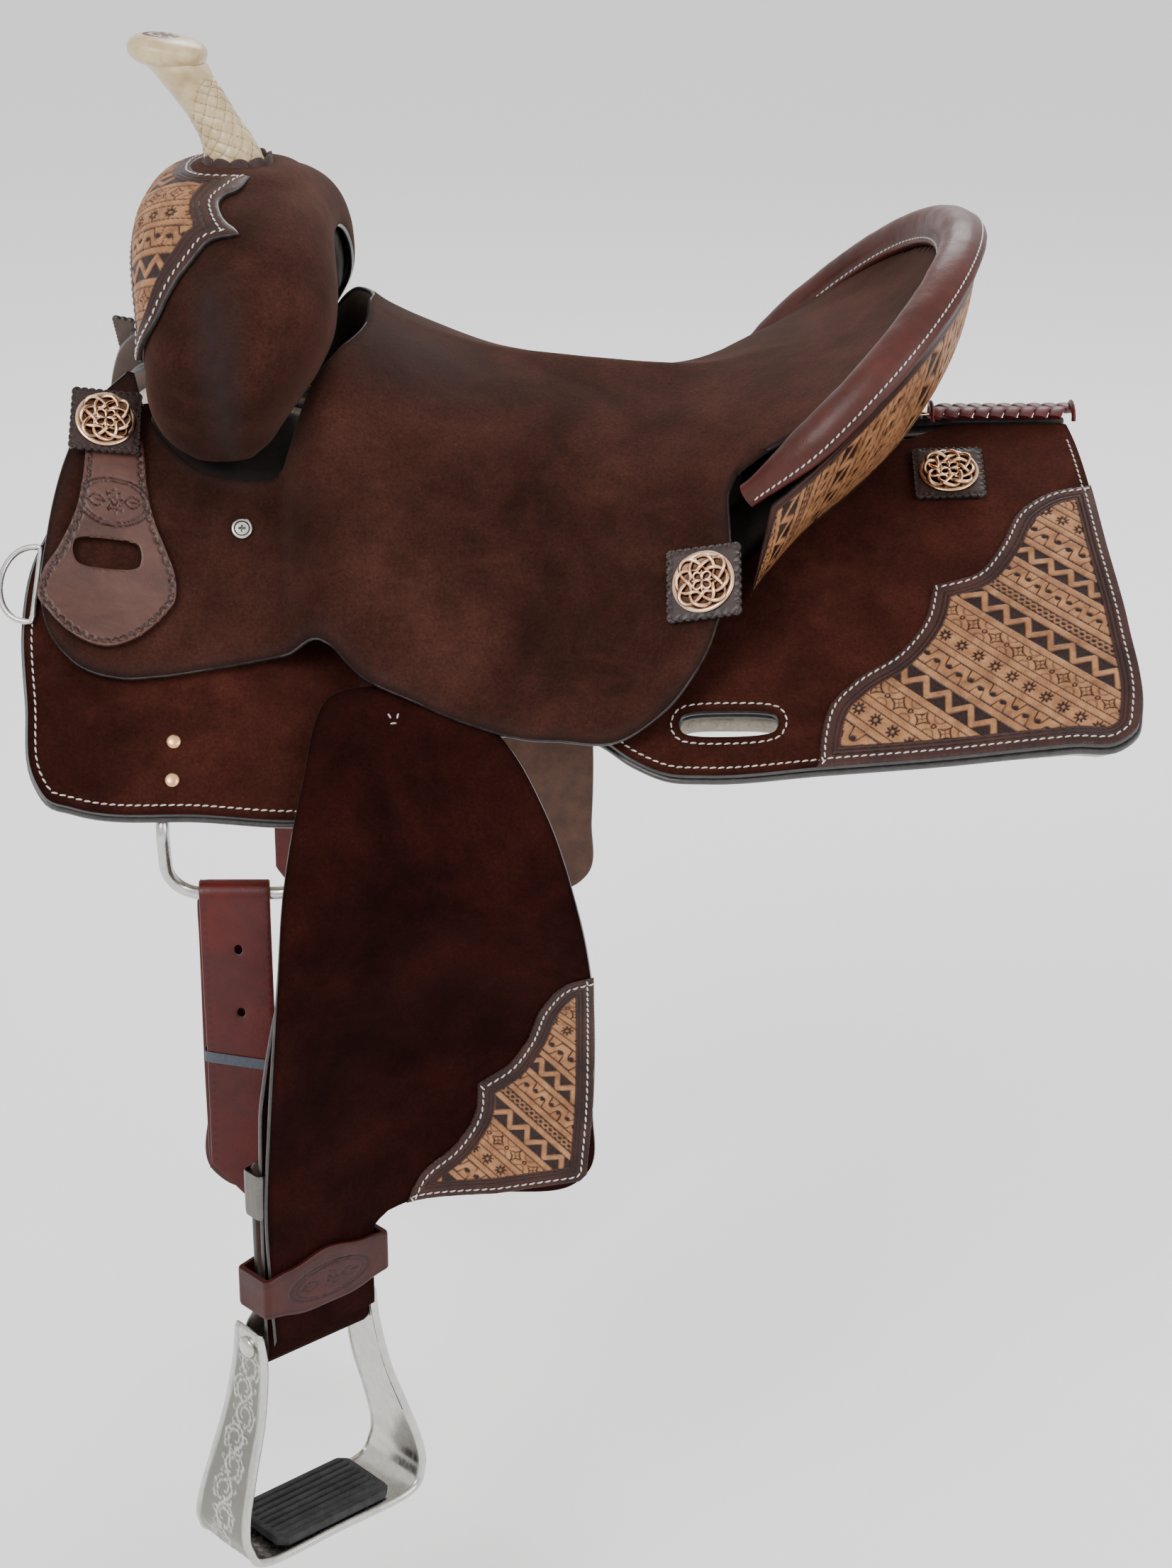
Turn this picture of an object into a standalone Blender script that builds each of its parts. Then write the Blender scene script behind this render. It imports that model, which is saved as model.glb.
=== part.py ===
"""Western saddle: tree, leathers, rigging and stirrups, built as separate named pieces.

Frame: metres, +Z up, horn towards -X, cantle towards +X, the near (left) side on -Y.
The origin is where the saddle sits on a back or rack: middle of the length, top of the ridge line.
"""
import math

import bmesh
import bpy
from mathutils import Vector
from mathutils.geometry import delaunay_2d_cdt

# ---------------------------------------------------------------- sizes (metres)
LEATHER = 0.004            # seat, jockeys, fenders
SKIRT_LEATHER = 0.005
FLEECE = 0.013
AIR = 0.0015               # free gap between layers that lie on each other
SKIRT_FRONT = -0.335
SKIRT_LENGTH = 0.655
BAR_THICK = 0.0127
BAR_INNER = 0.045          # half width of the channel over the spine
STRAP = 0.004              # stirrup leather
STRAP_WIDTH = 0.080
FENDER_TWIST = math.radians(42)
RIM_TILT = math.radians(44)
RIM_RADIUS = 0.157
RIM_X, RIM_Z, RIM_CENTRE = 0.093, 0.021, 0.050
ROLL_WIDTH, ROLL_HEIGHT = 0.031, 0.016
HORN_BASE = (-0.218, 0.0, 0.1965)
HORN_CAP = (-0.2590, 0.0, 0.2695)
HORN_CAP_RADIUS = 0.0245
FLEX = (-0.115, 0.207, -0.094)      # x, distance from the middle, height of the leather's flex line
BOLT_Z = -0.475
BOLT_BEHIND = 0.019                 # bolt centre behind the fender's middle surface
DEE_X, DEE_OUT, DEE_TOP, DEE_LOW = -0.2105, 0.2340, -0.158, -0.2020
DEE_LOW_OUT = 0.2220       # the dee leans in under the skirt
DEE_HALF, DEE_CORNER, DEE_BAR = 0.0440, 0.0210, 0.0040
LATIGO_WIDTH = 0.043

# outlines: (x, distance from the middle line)
SEAT_EDGE = [
    (-0.137, 0.000), (-0.138, 0.044), (-0.142, 0.060), (-0.149, 0.076), (-0.158, 0.089),
    (-0.172, 0.0970), (-0.187, 0.1030), (-0.203, 0.1055), (-0.221, 0.1065), (-0.241, 0.1045),
    (-0.259, 0.095), (-0.273, 0.080), (-0.2810, 0.062), (-0.2850, 0.062), (-0.2996, 0.0785),
    (-0.312, 0.0975), (-0.320, 0.118), (-0.328, 0.1435), (-0.331, 0.1645), (-0.325, 0.180),
    (-0.310, 0.191), (-0.282, 0.195), (-0.259, 0.192), (-0.221, 0.1845), (-0.1935, 0.180),
    (-0.165, 0.186), (-0.140, 0.1945), (-0.107, 0.203), (-0.070, 0.214), (-0.032, 0.2225),
    (0.001, 0.2235), (0.034, 0.2185), (0.057, 0.211), (0.074, 0.200), (0.081, 0.189),
    (0.0856, 0.180), (0.0870, 0.168), (0.0865, 0.152), (0.0868, 0.136), (0.0915, 0.1265)]
SKIRT_EDGE = [
    (-0.262, 0.048), (-0.290, 0.060), (-0.308, 0.085), (-0.323, 0.118), (-0.3385, 0.153),
    (-0.3405, 0.174), (-0.336, 0.205), (-0.331, 0.232), (-0.322, 0.2405), (-0.307, 0.2425),
    (-0.233, 0.2400), (-0.150, 0.2380), (-0.125, 0.2330), (-0.108, 0.2200), (-0.080, 0.2050),
    (-0.020, 0.2000), (0.006, 0.2050), (0.028, 0.2180), (0.048, 0.2265), (0.072, 0.2300),
    (0.141, 0.2335), (0.211, 0.2385), (0.2885, 0.2440), (0.3155, 0.2470), (0.325, 0.2415),
    (0.3293, 0.2275), (0.328, 0.176), (0.321, 0.1125), (0.317, 0.068), (0.312, 0.024),
    (0.309, 0.006), (0.236, 0.006), (0.205, 0.022), (0.000, 0.024), (-0.100, 0.030),
    (-0.180, 0.042)]
BAR_EDGE = [
    (-0.271, 0.060), (-0.272, 0.082), (-0.264, 0.101), (-0.245, 0.114), (-0.215, 0.120),
    (-0.170, 0.116), (-0.100, 0.108), (-0.030, 0.108), (0.030, 0.116), (0.070, 0.120),
    (0.092, 0.115), (0.118, 0.096), (0.146, 0.072), (0.168, 0.050), (0.165, 0.045),
    (0.000, BAR_INNER), (-0.040, BAR_INNER + 0.001), (-0.100, BAR_INNER + 0.0015),
    (-0.160, BAR_INNER + 0.001), (-0.230, 0.047)]
GROUND_EDGE = [
    (-0.134, 0.000), (-0.132, 0.050), (-0.118, 0.078), (-0.085, 0.092), (-0.030, 0.100),
    (0.030, 0.108), (0.070, 0.108), (0.095, 0.095), (0.105, 0.060), (0.108, 0.000)]
CREST = [
    (-0.190, 0.150), (-0.150, 0.122), (-0.1286, 0.104), (-0.090, 0.086), (-0.054, 0.0726),
    (0.016, 0.060), (0.052, 0.058), (0.075, 0.063), (0.110, 0.076), (0.150, 0.086),
    (0.190, 0.107), (0.215, 0.132), (0.240, 0.166)]
# fender: height -> distance from the middle line; and its outline as (x, height)
FENDER_FALL = [
    (-0.060, 0.168), (-0.085, 0.194), (-0.112, 0.224), (-0.140, 0.250), (-0.170, 0.268),
    (-0.200, 0.2775), (-0.250, 0.2820), (-0.390, 0.2830), (-0.620, 0.2830)]
LEATHER_LINE = [(-0.080, -0.100), (-0.140, -0.113), (-0.220, -0.138), (-0.290, -0.157),
                (-0.335, -0.1625), (-0.380, -0.1625), (-0.620, -0.1625)]
FENDER_EDGE = [
    (-0.154, -0.116), (-0.125, -0.106), (-0.100, -0.104), (-0.075, -0.112), (-0.050, -0.126),
    (-0.027, -0.146), (-0.0040, -0.194), (0.0030, -0.238), (0.0055, -0.283), (0.0045, -0.344),
    (0.0010, -0.3885), (-0.004, -0.394), (-0.056, -0.4025), (-0.112, -0.4055),
    (-0.1245, -0.4070), (-0.1320, -0.4125), (-0.1335, -0.422), (-0.1335, -0.440), (-0.1335, -0.468),
    (-0.1915, -0.468), (-0.1930, -0.425), (-0.1938, -0.374), (-0.1905, -0.321),
    (-0.1870, -0.277), (-0.1830, -0.228), (-0.1790, -0.175), (-0.1700, -0.140)]
# swell seen from the front, (distance from the middle, height), and its depth front/back in x
SWELL_OUT = [(0.000, 0.1970), (0.040, 0.1950), (0.078, 0.1850), (0.112, 0.1680), (0.140, 0.1430),
             (0.1530, 0.1150), (0.1500, 0.0880), (0.1390, 0.0660), (0.1240, 0.0490),
             (0.1080, 0.0370)]
SWELL_IN = [(0.000, 0.1380), (0.022, 0.1360), (0.040, 0.1260), (0.051, 0.1100), (0.058, 0.0940),
            (0.064, 0.0800), (0.070, 0.0690), (0.077, 0.0600), (0.084, 0.0520), (0.092, 0.0440)]
SWELL_X = [(-0.277, -0.158), (-0.277, -0.157), (-0.276, -0.154), (-0.273, -0.152),
           (-0.2695, -0.154), (-0.2690, -0.163), (-0.2680, -0.174), (-0.2640, -0.184),
           (-0.2560, -0.192), (-0.2440, -0.203)]
CANTLE_FOOT = [(0.206, 0.000), (0.203, 0.020), (0.188, 0.048), (0.160, 0.078), (0.130, 0.103),
               (0.106, 0.130), (0.100, 0.140)]

SIDES = (("left", -1), ("right", 1))


# ---------------------------------------------------------------- plain maths
def ease(a, b, v):
    u = min(1.0, max(0.0, (v - a) / (b - a)))
    return u * u * (3 - 2 * u)


def table(points, v):
    """Smooth value from a table of (key, value), keys rising or falling."""
    if points[0][0] > points[-1][0]:
        points = points[::-1]
    last = len(points) - 1
    slope = []
    for i in range(last + 1):
        a = points[max(i - 1, 0)]
        b = points[min(i + 1, last)]
        slope.append((b[1] - a[1]) / (b[0] - a[0]))
    if v <= points[0][0]:
        return points[0][1] + (v - points[0][0]) * slope[0]
    if v >= points[-1][0]:
        return points[-1][1] + (v - points[-1][0]) * slope[-1]
    i = 0
    while v > points[i + 1][0]:
        i += 1
    h = points[i + 1][0] - points[i][0]
    u = (v - points[i][0]) / h
    h00 = 2 * u ** 3 - 3 * u * u + 1
    h10 = u ** 3 - 2 * u * u + u
    h01 = -2 * u ** 3 + 3 * u * u
    h11 = u ** 3 - u * u
    return (h00 * points[i][1] + h10 * h * slope[i]
            + h01 * points[i + 1][1] + h11 * h * slope[i + 1])


def along(points, t):
    """Smooth point of any dimension at t in 0..1 through a list of tuples."""
    n = len(points) - 1
    keys = [i / n for i in range(n + 1)]
    out = []
    for k in range(len(points[0])):
        out.append(table(list(zip(keys, [p[k] for p in points])), t))
    return out


# ---------------------------------------------------------------- the surfaces leathers lie on
def skirt_height(x, a):
    t = (x - SKIRT_FRONT) / SKIRT_LENGTH
    fall = 0.27 - 0.135 * t
    return 0.03 + 0.085 * (1 - t) ** 3 + 0.005 * t - fall * (abs(a) / 0.26) ** 1.25


def jockey_height(x, a):
    a = abs(a)
    over_fender = 0.010 * (1 - ease(0.070, 0.115, abs(x + 0.090))) * ease(0.10, 0.15, a)
    over_bar = 0.017 * ease(0.0, 1.0, (0.165 - a) / 0.050)
    more = max(over_fender, over_bar) + 0.3 * min(over_fender, over_bar)
    return skirt_height(x, a) + 0.0120 + more


def seat_height(x, a):
    a = abs(a)
    if x > RIM_X:
        q = (x - RIM_X) / math.cos(RIM_TILT)
        k = 1 - ((q - RIM_CENTRE) / RIM_RADIUS) ** 2
        half = RIM_RADIUS * math.sqrt(max(k, 0.02))
        side = table(CREST, x) - (RIM_Z + (x - RIM_X) * math.tan(RIM_TILT))
    else:
        half = 0.150 - 0.030 * min(1.0, (RIM_X - x) / 0.25)
        side = 0.052 + 0.006 * min(1.0, (RIM_X - x) / 0.10)
    return table(CREST, x) - side * (a / half) ** 2.5


def top_height(x, a):
    """Upper face of the one-piece seat and jockeys."""
    low = jockey_height(x, a)
    high = seat_height(x, a)
    if x < -0.150:
        high -= (-0.150 - x) ** 2 * 60
    return (low + high + math.sqrt((low - high) ** 2 + 0.014 ** 2)) / 2


def on_field(height, side):
    """place(x, a, h): point on a height field, h metres out along the normal."""
    def place(x, a, h=0.0):
        e = 0.002
        dx = (height(x + e, a) - height(x - e, a)) / (2 * e)
        da = (height(x, a + e) - height(x, a - e)) / (2 * e)
        n = Vector((-dx, -da, 1.0)).normalized()
        p = Vector((x, a, height(x, a))) + n * h
        return Vector((p.x, p.y * side, p.z))
    return place


def bend(u):
    if abs(u) <= 0.035:
        return u
    return math.copysign(0.035 + 0.020 * math.tanh((abs(u) - 0.035) / 0.020), u)


def twist(z):
    return FENDER_TWIST * ease(0.16, 0.31, -z)


def fender_out(x, z):
    return table(FENDER_FALL, z) - math.tan(twist(z)) * bend(x - table(LEATHER_LINE, z))


def fender_place(side):
    """place(x, z, h): point on the fender's middle surface, h metres outwards."""
    def place(x, z, h=0.0):
        e = 0.002
        dx = (fender_out(x + e, z) - fender_out(x - e, z)) / (2 * e)
        dz = (fender_out(x, z + e) - fender_out(x, z - e)) / (2 * e)
        n = Vector((-dx, 1.0, -dz)).normalized()
        p = Vector((x, fender_out(x, z), z)) + n * h
        return Vector((p.x, p.y * side, p.z))
    return place


def rim(tau, r, lift=0.0):
    """Point on the cantle's tilted rim plane."""
    q = RIM_CENTRE + r * math.cos(tau)
    x = RIM_X + q * math.cos(RIM_TILT) - lift * math.sin(RIM_TILT)
    z = RIM_Z + q * math.sin(RIM_TILT) + lift * math.cos(RIM_TILT)
    return Vector((x, r * math.sin(tau), z))


def swell_point(t, beta, inset=0.0):
    """Swell surface: t -1..1 from near lobe to far lobe, beta 0 front, 90 outside, 180 back."""
    s = abs(t)
    oy, oz = along(SWELL_OUT, s)
    iy, iz = along(SWELL_IN, s)
    xf, xb = along(SWELL_X, s)
    out = Vector((0, oy - iy, oz - iz))
    depth = out.length
    out.normalize()
    hx = (xb - xf) / 2 - inset
    c, b = math.cos(beta), math.sin(beta)
    power = 2 / 2.7
    x = (xf + xb) / 2 - hx * math.copysign(abs(c) ** power, c)
    lower = 0.30 * depth
    if b >= 0:
        r = lower + (depth - inset - lower) * abs(b) ** power
    else:
        r = lower * (1 + math.sin(beta))
    p = Vector((x, iy, iz)) + out * r
    return Vector((p.x, math.copysign(p.y, t) if t else 0.0, p.z))


# ---------------------------------------------------------------- mesh builders
def inside(p, poly):
    hit = False
    j = len(poly) - 1
    for i in range(len(poly)):
        a, b = poly[i], poly[j]
        if (a[1] > p[1]) != (b[1] > p[1]):
            if p[0] < (b[0] - a[0]) * (p[1] - a[1]) / (b[1] - a[1]) + a[0]:
                hit = not hit
        j = i
    return hit


def clear_of(p, poly, gap):
    j = len(poly) - 1
    for i in range(len(poly)):
        a, b = poly[j], poly[i]
        dx, dy = b[0] - a[0], b[1] - a[1]
        t = ((p[0] - a[0]) * dx + (p[1] - a[1]) * dy) / (dx * dx + dy * dy)
        t = min(1.0, max(0.0, t))
        if math.hypot(p[0] - a[0] - t * dx, p[1] - a[1] - t * dy) < gap:
            return False
        j = i
    return True


def divide(poly, step):
    out = []
    for i in range(len(poly)):
        a, b = poly[i], poly[(i + 1) % len(poly)]
        n = max(1, math.ceil(math.hypot(b[0] - a[0], b[1] - a[1]) / step))
        for k in range(n):
            out.append((a[0] + (b[0] - a[0]) * k / n, a[1] + (b[1] - a[1]) * k / n))
    return out


def mirrored(edge):
    """Both halves of an outline that starts and ends on the middle line."""
    other = [(x, -a) for x, a in reversed(edge) if abs(a) > 1e-6]
    return edge + other


def make(name, verts, faces, material, place_in):
    mesh = bpy.data.meshes.new(name)
    mesh.from_pydata([tuple(v) for v in verts], [], faces)
    work = bmesh.new()
    work.from_mesh(mesh)
    bmesh.ops.remove_doubles(work, verts=work.verts, dist=1e-6)
    bmesh.ops.triangulate(work, faces=work.faces)
    bmesh.ops.recalc_face_normals(work, faces=work.faces)
    work.to_mesh(mesh)
    work.free()
    mesh.materials.append(material)
    thing = bpy.data.objects.new(name, mesh)
    place_in.objects.link(thing)
    return thing


def sheet(name, edge, upper, lower, step, material, place_in, holes=()):
    """Closed sheet between two surfaces, cut to an outline. upper and lower: (u, v) -> Vector."""
    edge = divide(edge, step)
    holes = [divide(h, step) for h in holes]
    points = list(edge)
    links = [(i, (i + 1) % len(edge)) for i in range(len(edge))]
    for hole in holes:
        first = len(points)
        points += hole
        links += [(first + i, first + (i + 1) % len(hole)) for i in range(len(hole))]
    row = 0
    u0, u1 = min(p[0] for p in edge), max(p[0] for p in edge)
    v0, v1 = min(p[1] for p in edge), max(p[1] for p in edge)
    v = math.floor(v0 / step) * step
    while v < v1:
        u = math.floor(u0 / step) * step + (0.5 * step if row % 2 else 0.0)
        while u < u1:
            p = (u, v)
            if inside(p, edge) and clear_of(p, edge, 0.45 * step):
                if all(not inside(p, h) and clear_of(p, h, 0.45 * step) for h in holes):
                    points.append(p)
            u += step
        v += step * 0.866
        row += 1
    got = delaunay_2d_cdt([Vector(p) for p in points], links, [], 0, 1e-7)
    flat, faces = got[0], got[2]
    keep = []
    for f in faces:
        c = sum((flat[i] for i in f), Vector((0, 0))) / len(f)
        if inside(c, edge) and not any(inside(c, h) for h in holes):
            keep.append(tuple(f))
    n = len(flat)
    verts = [upper(p[0], p[1]) for p in flat] + [lower(p[0], p[1]) for p in flat]
    count = {}
    for f in keep:
        for i in range(3):
            key = (f[i], f[(i + 1) % 3])
            count[key] = True
    solid = list(keep) + [tuple(i + n for i in reversed(f)) for f in keep]
    for a, b in count:
        if (b, a) not in count:
            solid.append((b, a, a + n))
            solid.append((b, a + n, b + n))
    return make(name, verts, solid, material, place_in)


def loft(name, rings, material, place_in, ring_closed=True, ends=True, around=False):
    """Skin over rings of equal length. around joins the last ring to the first."""
    n = len(rings[0])
    verts = [p for ring in rings for p in ring]
    faces = []
    spans = len(rings) if around else len(rings) - 1
    for r in range(spans):
        a = r * n
        b = ((r + 1) % len(rings)) * n
        for i in range(n if ring_closed else n - 1):
            j = (i + 1) % n
            faces.append((a + i, a + j, b + j, b + i))
    if ends and not around:
        for start, ring in ((0, rings[0]), (len(verts) - n, rings[-1])):
            centre = sum(ring, Vector()) / n
            verts.append(centre)
            c = len(verts) - 1
            for i in range(n):
                faces.append((start + i, start + (i + 1) % n, c))
    return make(name, verts, faces, material, place_in)


def circle_ring(centre, across, other, r1, r2=None, count=16):
    r2 = r1 if r2 is None else r2
    out = []
    for i in range(count):
        w = 2 * math.pi * i / count
        out.append(centre + across * (r1 * math.cos(w)) + other * (r2 * math.sin(w)))
    return out


def rod(name, a, b, radius, material, place_in, count=16):
    axis = (b - a).normalized()
    across = axis.orthogonal().normalized()
    other = axis.cross(across)
    rings = [circle_ring(p, across, other, radius, count=count) for p in (a, b)]
    return loft(name, rings, material, place_in)


def turned(name, centre, axis, profile, material, place_in, count=20, wave=0.0, waves=0, flat=None):
    """Turned body: profile of (radius, height) along axis; wave scallops the rim."""
    axis = axis.normalized()
    across = flat if flat else axis.orthogonal().normalized()
    other = axis.cross(across)
    rings = []
    for r, h in profile:
        ring = []
        for i in range(count):
            w = 2 * math.pi * i / count
            rr = r * (1 + wave * math.cos(waves * w))
            ring.append(centre + axis * h + across * (rr * math.cos(w)) + other * (rr * math.sin(w)))
        rings.append(ring)
    return loft(name, rings, material, place_in)


def strap(name, stations, width, thick, material, place_in):
    """Flat strap. stations: (centre, across, out) with unit vectors."""
    rings = []
    for centre, across, out in stations:
        w = across * (width / 2)
        t = out * (thick / 2)
        rings.append([centre - w - t, centre + w - t, centre + w + t, centre - w + t])
    return loft(name, rings, material, place_in)


def bent_rod(name, path, radius, material, place_in, closed=False, count=10):
    rings = []
    n = len(path)
    ref = None
    for i, p in enumerate(path):
        a = path[i - 1] if (closed or i) else path[0]
        b = path[(i + 1) % n] if (closed or i < n - 1) else path[-1]
        t = (b - a).normalized()
        if ref is None:
            normal = (path[n // 3] - path[0]).cross(path[2 * n // 3] - path[0])
            ref = normal.normalized() if normal.length > 1e-9 else t.orthogonal().normalized()
        side = t.cross(ref).normalized()
        rings.append(circle_ring(p, side, ref, radius, count=count))
    return loft(name, rings, material, place_in, around=closed)


def shade(name, colour, rough, metal=0.0):
    m = bpy.data.materials.new(name)
    m.use_nodes = True
    p = m.node_tree.nodes["Principled BSDF"]
    p.inputs["Base Color"].default_value = (*colour, 1.0)
    p.inputs["Roughness"].default_value = rough
    p.inputs["Metallic"].default_value = metal
    return m


# ---------------------------------------------------------------- scene
for old in list(bpy.data.objects):
    bpy.data.objects.remove(old, do_unlink=True)

group = bpy.data.collections.new("western_saddle")
bpy.context.scene.collection.children.link(group)

ROUGHOUT = shade("roughout_leather", (0.075, 0.030, 0.017), 0.85)
SMOOTH = shade("smooth_leather", (0.110, 0.032, 0.018), 0.45)
TOOLED = shade("tooled_leather", (0.230, 0.110, 0.050), 0.55)
BURGUNDY = shade("burgundy_leather", (0.100, 0.010, 0.012), 0.40)
KEEPER = shade("keeper_leather", (0.130, 0.055, 0.030), 0.50)
WOOL = shade("fleece", (0.600, 0.520, 0.400), 0.95)
WOOD = shade("tree_rawhide", (0.560, 0.400, 0.180), 0.55)
RAWHIDE = shade("rawhide", (0.700, 0.590, 0.390), 0.45)
STEEL = shade("stainless", (0.620, 0.620, 0.620), 0.25, 1.0)
ALLOY = shade("aluminium", (0.700, 0.700, 0.720), 0.30, 1.0)
COPPER = shade("antique_copper", (0.600, 0.330, 0.180), 0.35, 1.0)
RUBBER = shade("black_rubber", (0.020, 0.020, 0.022), 0.80)


# ---------------------------------------------------------------- skirts, wool, seat
def build_skirt(word, side):
    place = on_field(skirt_height, side)
    slot = [(0.060, 0.1955), (0.112, 0.1995), (0.1165, 0.2060), (0.112, 0.2125), (0.060, 0.2085),
            (0.0555, 0.2020)]
    sheet("skirt_" + word, SKIRT_EDGE, lambda x, a: place(x, a, 0.0),
          lambda x, a: place(x, a, -SKIRT_LEATHER), 0.040, ROUGHOUT, group, holes=(slot,))
    shrink = []
    for x, a in SKIRT_EDGE:
        cx, ca = -0.005, 0.130
        shrink.append((cx + (x - cx) * 0.985, ca + (a - ca) * 0.955))
    deep = -SKIRT_LEATHER - 2 * AIR - 2 * DEE_BAR - 0.0030
    sheet("fleece_" + word, shrink, lambda x, a: place(x, a, deep),
          lambda x, a: place(x, a, deep - FLEECE), 0.046, WOOL, group)


def bar_upper(x, a):
    """The bar thins where the stirrup leather passes over and under it."""
    notch = 1 - ease(0.050, 0.075, abs(x + 0.100))
    thin = 0.0050 * ease(0.085, 0.120, a)
    return AIR + BAR_THICK - max(thin, 0.0028 * notch)


def bar_lower(x):
    notch = 1 - ease(0.050, 0.075, abs(x + 0.100))
    return AIR + 0.0041 * notch


def build_bar(word, side):
    place = on_field(skirt_height, side)
    sheet("tree_bar_" + word, BAR_EDGE, lambda x, a: place(x, a, bar_upper(x, a)),
          lambda x, a: place(x, a, bar_lower(x)), 0.025, WOOD, group)


def ground_under(x, a):
    near = max(abs(a), BAR_INNER)
    return skirt_height(x, near) + 0.0228 + 0.003 * (1 - min(1, abs(a) / BAR_INNER)) ** 2


def build_seat():
    back = []
    for k in range(13):
        tau = math.radians(102 - 102 * k / 12)
        p = rim(tau, RIM_RADIUS - 0.0287)
        back.append((p.x, p.y))
    edge = SEAT_EDGE + back
    edge[-1] = (edge[-1][0], 0.0)
    place = on_field(top_height, 1)
    sheet("seat_leather", mirrored(edge), lambda x, a: place(x, a, 0.0),
          lambda x, a: place(x, a, -LEATHER), 0.029, ROUGHOUT, group)
    sheet("ground_seat", mirrored(GROUND_EDGE),
          lambda x, a: place(x, a, -LEATHER - 0.0035),
          lambda x, a: Vector((x, a, ground_under(x, a))), 0.030, WOOD, group)


# ---------------------------------------------------------------- fork, swell, horn
def build_fork():
    count = 13
    rings = []
    for i in range(count):
        t = -0.97 + 1.94 * i / (count - 1)
        ring = []
        for k in range(12):
            ring.append(swell_point(t, 2 * math.pi * k / 12, 0.0075))
        rings.append(ring)
    loft("tree_fork", rings, WOOD, group)
    rings = []
    count = 19
    for i in range(count):
        t = -1.0 + 2.0 * i / (count - 1)
        outer = [swell_point(t, math.pi * k / 10) for k in range(11)]
        inner = [swell_point(t, math.pi * k / 10, 0.0042) for k in range(10, -1, -1)]
        rings.append(outer + inner)
    n = 22
    verts = [p for ring in rings for p in ring]
    faces = []
    for r in range(count - 1):
        for i in range(n):
            j = (i + 1) % n
            faces.append((r * n + i, r * n + j, (r + 1) * n + j, (r + 1) * n + i))
    for base in (0, (count - 1) * n):
        for i in range(10):
            faces.append((base + i, base + i + 1, base + n - 2 - i, base + n - 1 - i))
    make("swell_cover", verts, faces, ROUGHOUT, group)
    # tooled cover over the front of the swell, scalloped at its rear edge
    rings = []
    count = 17
    for i in range(count):
        t = -0.76 + 1.52 * i / (count - 1)
        s = abs(t)
        reach = math.radians(62 - 40 * s ** 1.5 + 7 * math.cos(3.2 * math.pi * s))
        outer = [swell_point(t, math.radians(4) + reach * k / 5, -0.0045) for k in range(6)]
        inner = [swell_point(t, math.radians(4) + reach * k / 5, -0.0015) for k in range(5, -1, -1)]
        rings.append(outer + inner)
    n = 12
    verts = [p for ring in rings for p in ring]
    faces = []
    for r in range(count - 1):
        for i in range(n):
            j = (i + 1) % n
            faces.append((r * n + i, r * n + j, (r + 1) * n + j, (r + 1) * n + i))
    for base in (0, (count - 1) * n):
        for i in range(5):
            faces.append((base + i, base + i + 1, base + n - 2 - i, base + n - 1 - i))
    make("gullet_cover", verts, faces, TOOLED, group)


def horn_line(t):
    a, b = Vector(HORN_BASE), Vector(HORN_CAP)
    p = a.lerp(b, t)
    p.x += 0.004 * math.sin(math.pi * t)
    return p


def build_horn():
    lean = (Vector(HORN_CAP) - Vector(HORN_BASE)).normalized()
    across = Vector((0, 1, 0))
    other = lean.cross(across)
    if other.x > 0:
        other = -other
    top_axis = Vector((math.sin(math.radians(8)), 0, math.cos(math.radians(8))))
    outer, inner, post = [], [], []
    level = Vector((-1, 0, 0))
    under_cap = Vector((-math.cos(math.radians(8)), 0, math.sin(math.radians(8))))
    for k in range(7):
        t = 0.035 + 0.805 * k / 6
        r = 0.0185 - 0.0062 * ease(0.0, 0.45, t) + 0.0045 * ease(0.60, 0.86, t)
        p = horn_line(t)
        flat = level.lerp(other, ease(0.0, 0.35, t)).lerp(under_cap, ease(0.55, 0.82, t)).normalized()
        outer.append(circle_ring(p, across, flat, r, count=14))
        inner.append(circle_ring(p, across, flat, 0.0088, count=14))
        post.append(circle_ring(p, across, flat, 0.0072, count=10))
    loft("horn_wrap", outer + inner[::-1], RAWHIDE, group, around=True)
    loft("horn_post", post, STEEL, group)
    centre = Vector(HORN_CAP)
    profile = [(0.012, -0.0088), (0.0195, -0.0075), (0.0235, -0.0030), (HORN_CAP_RADIUS, 0.0015),
               (0.0232, 0.0060), (0.0195, 0.0086)]
    turned("horn_cap", centre, top_axis, profile, RAWHIDE, group, count=20)


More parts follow.
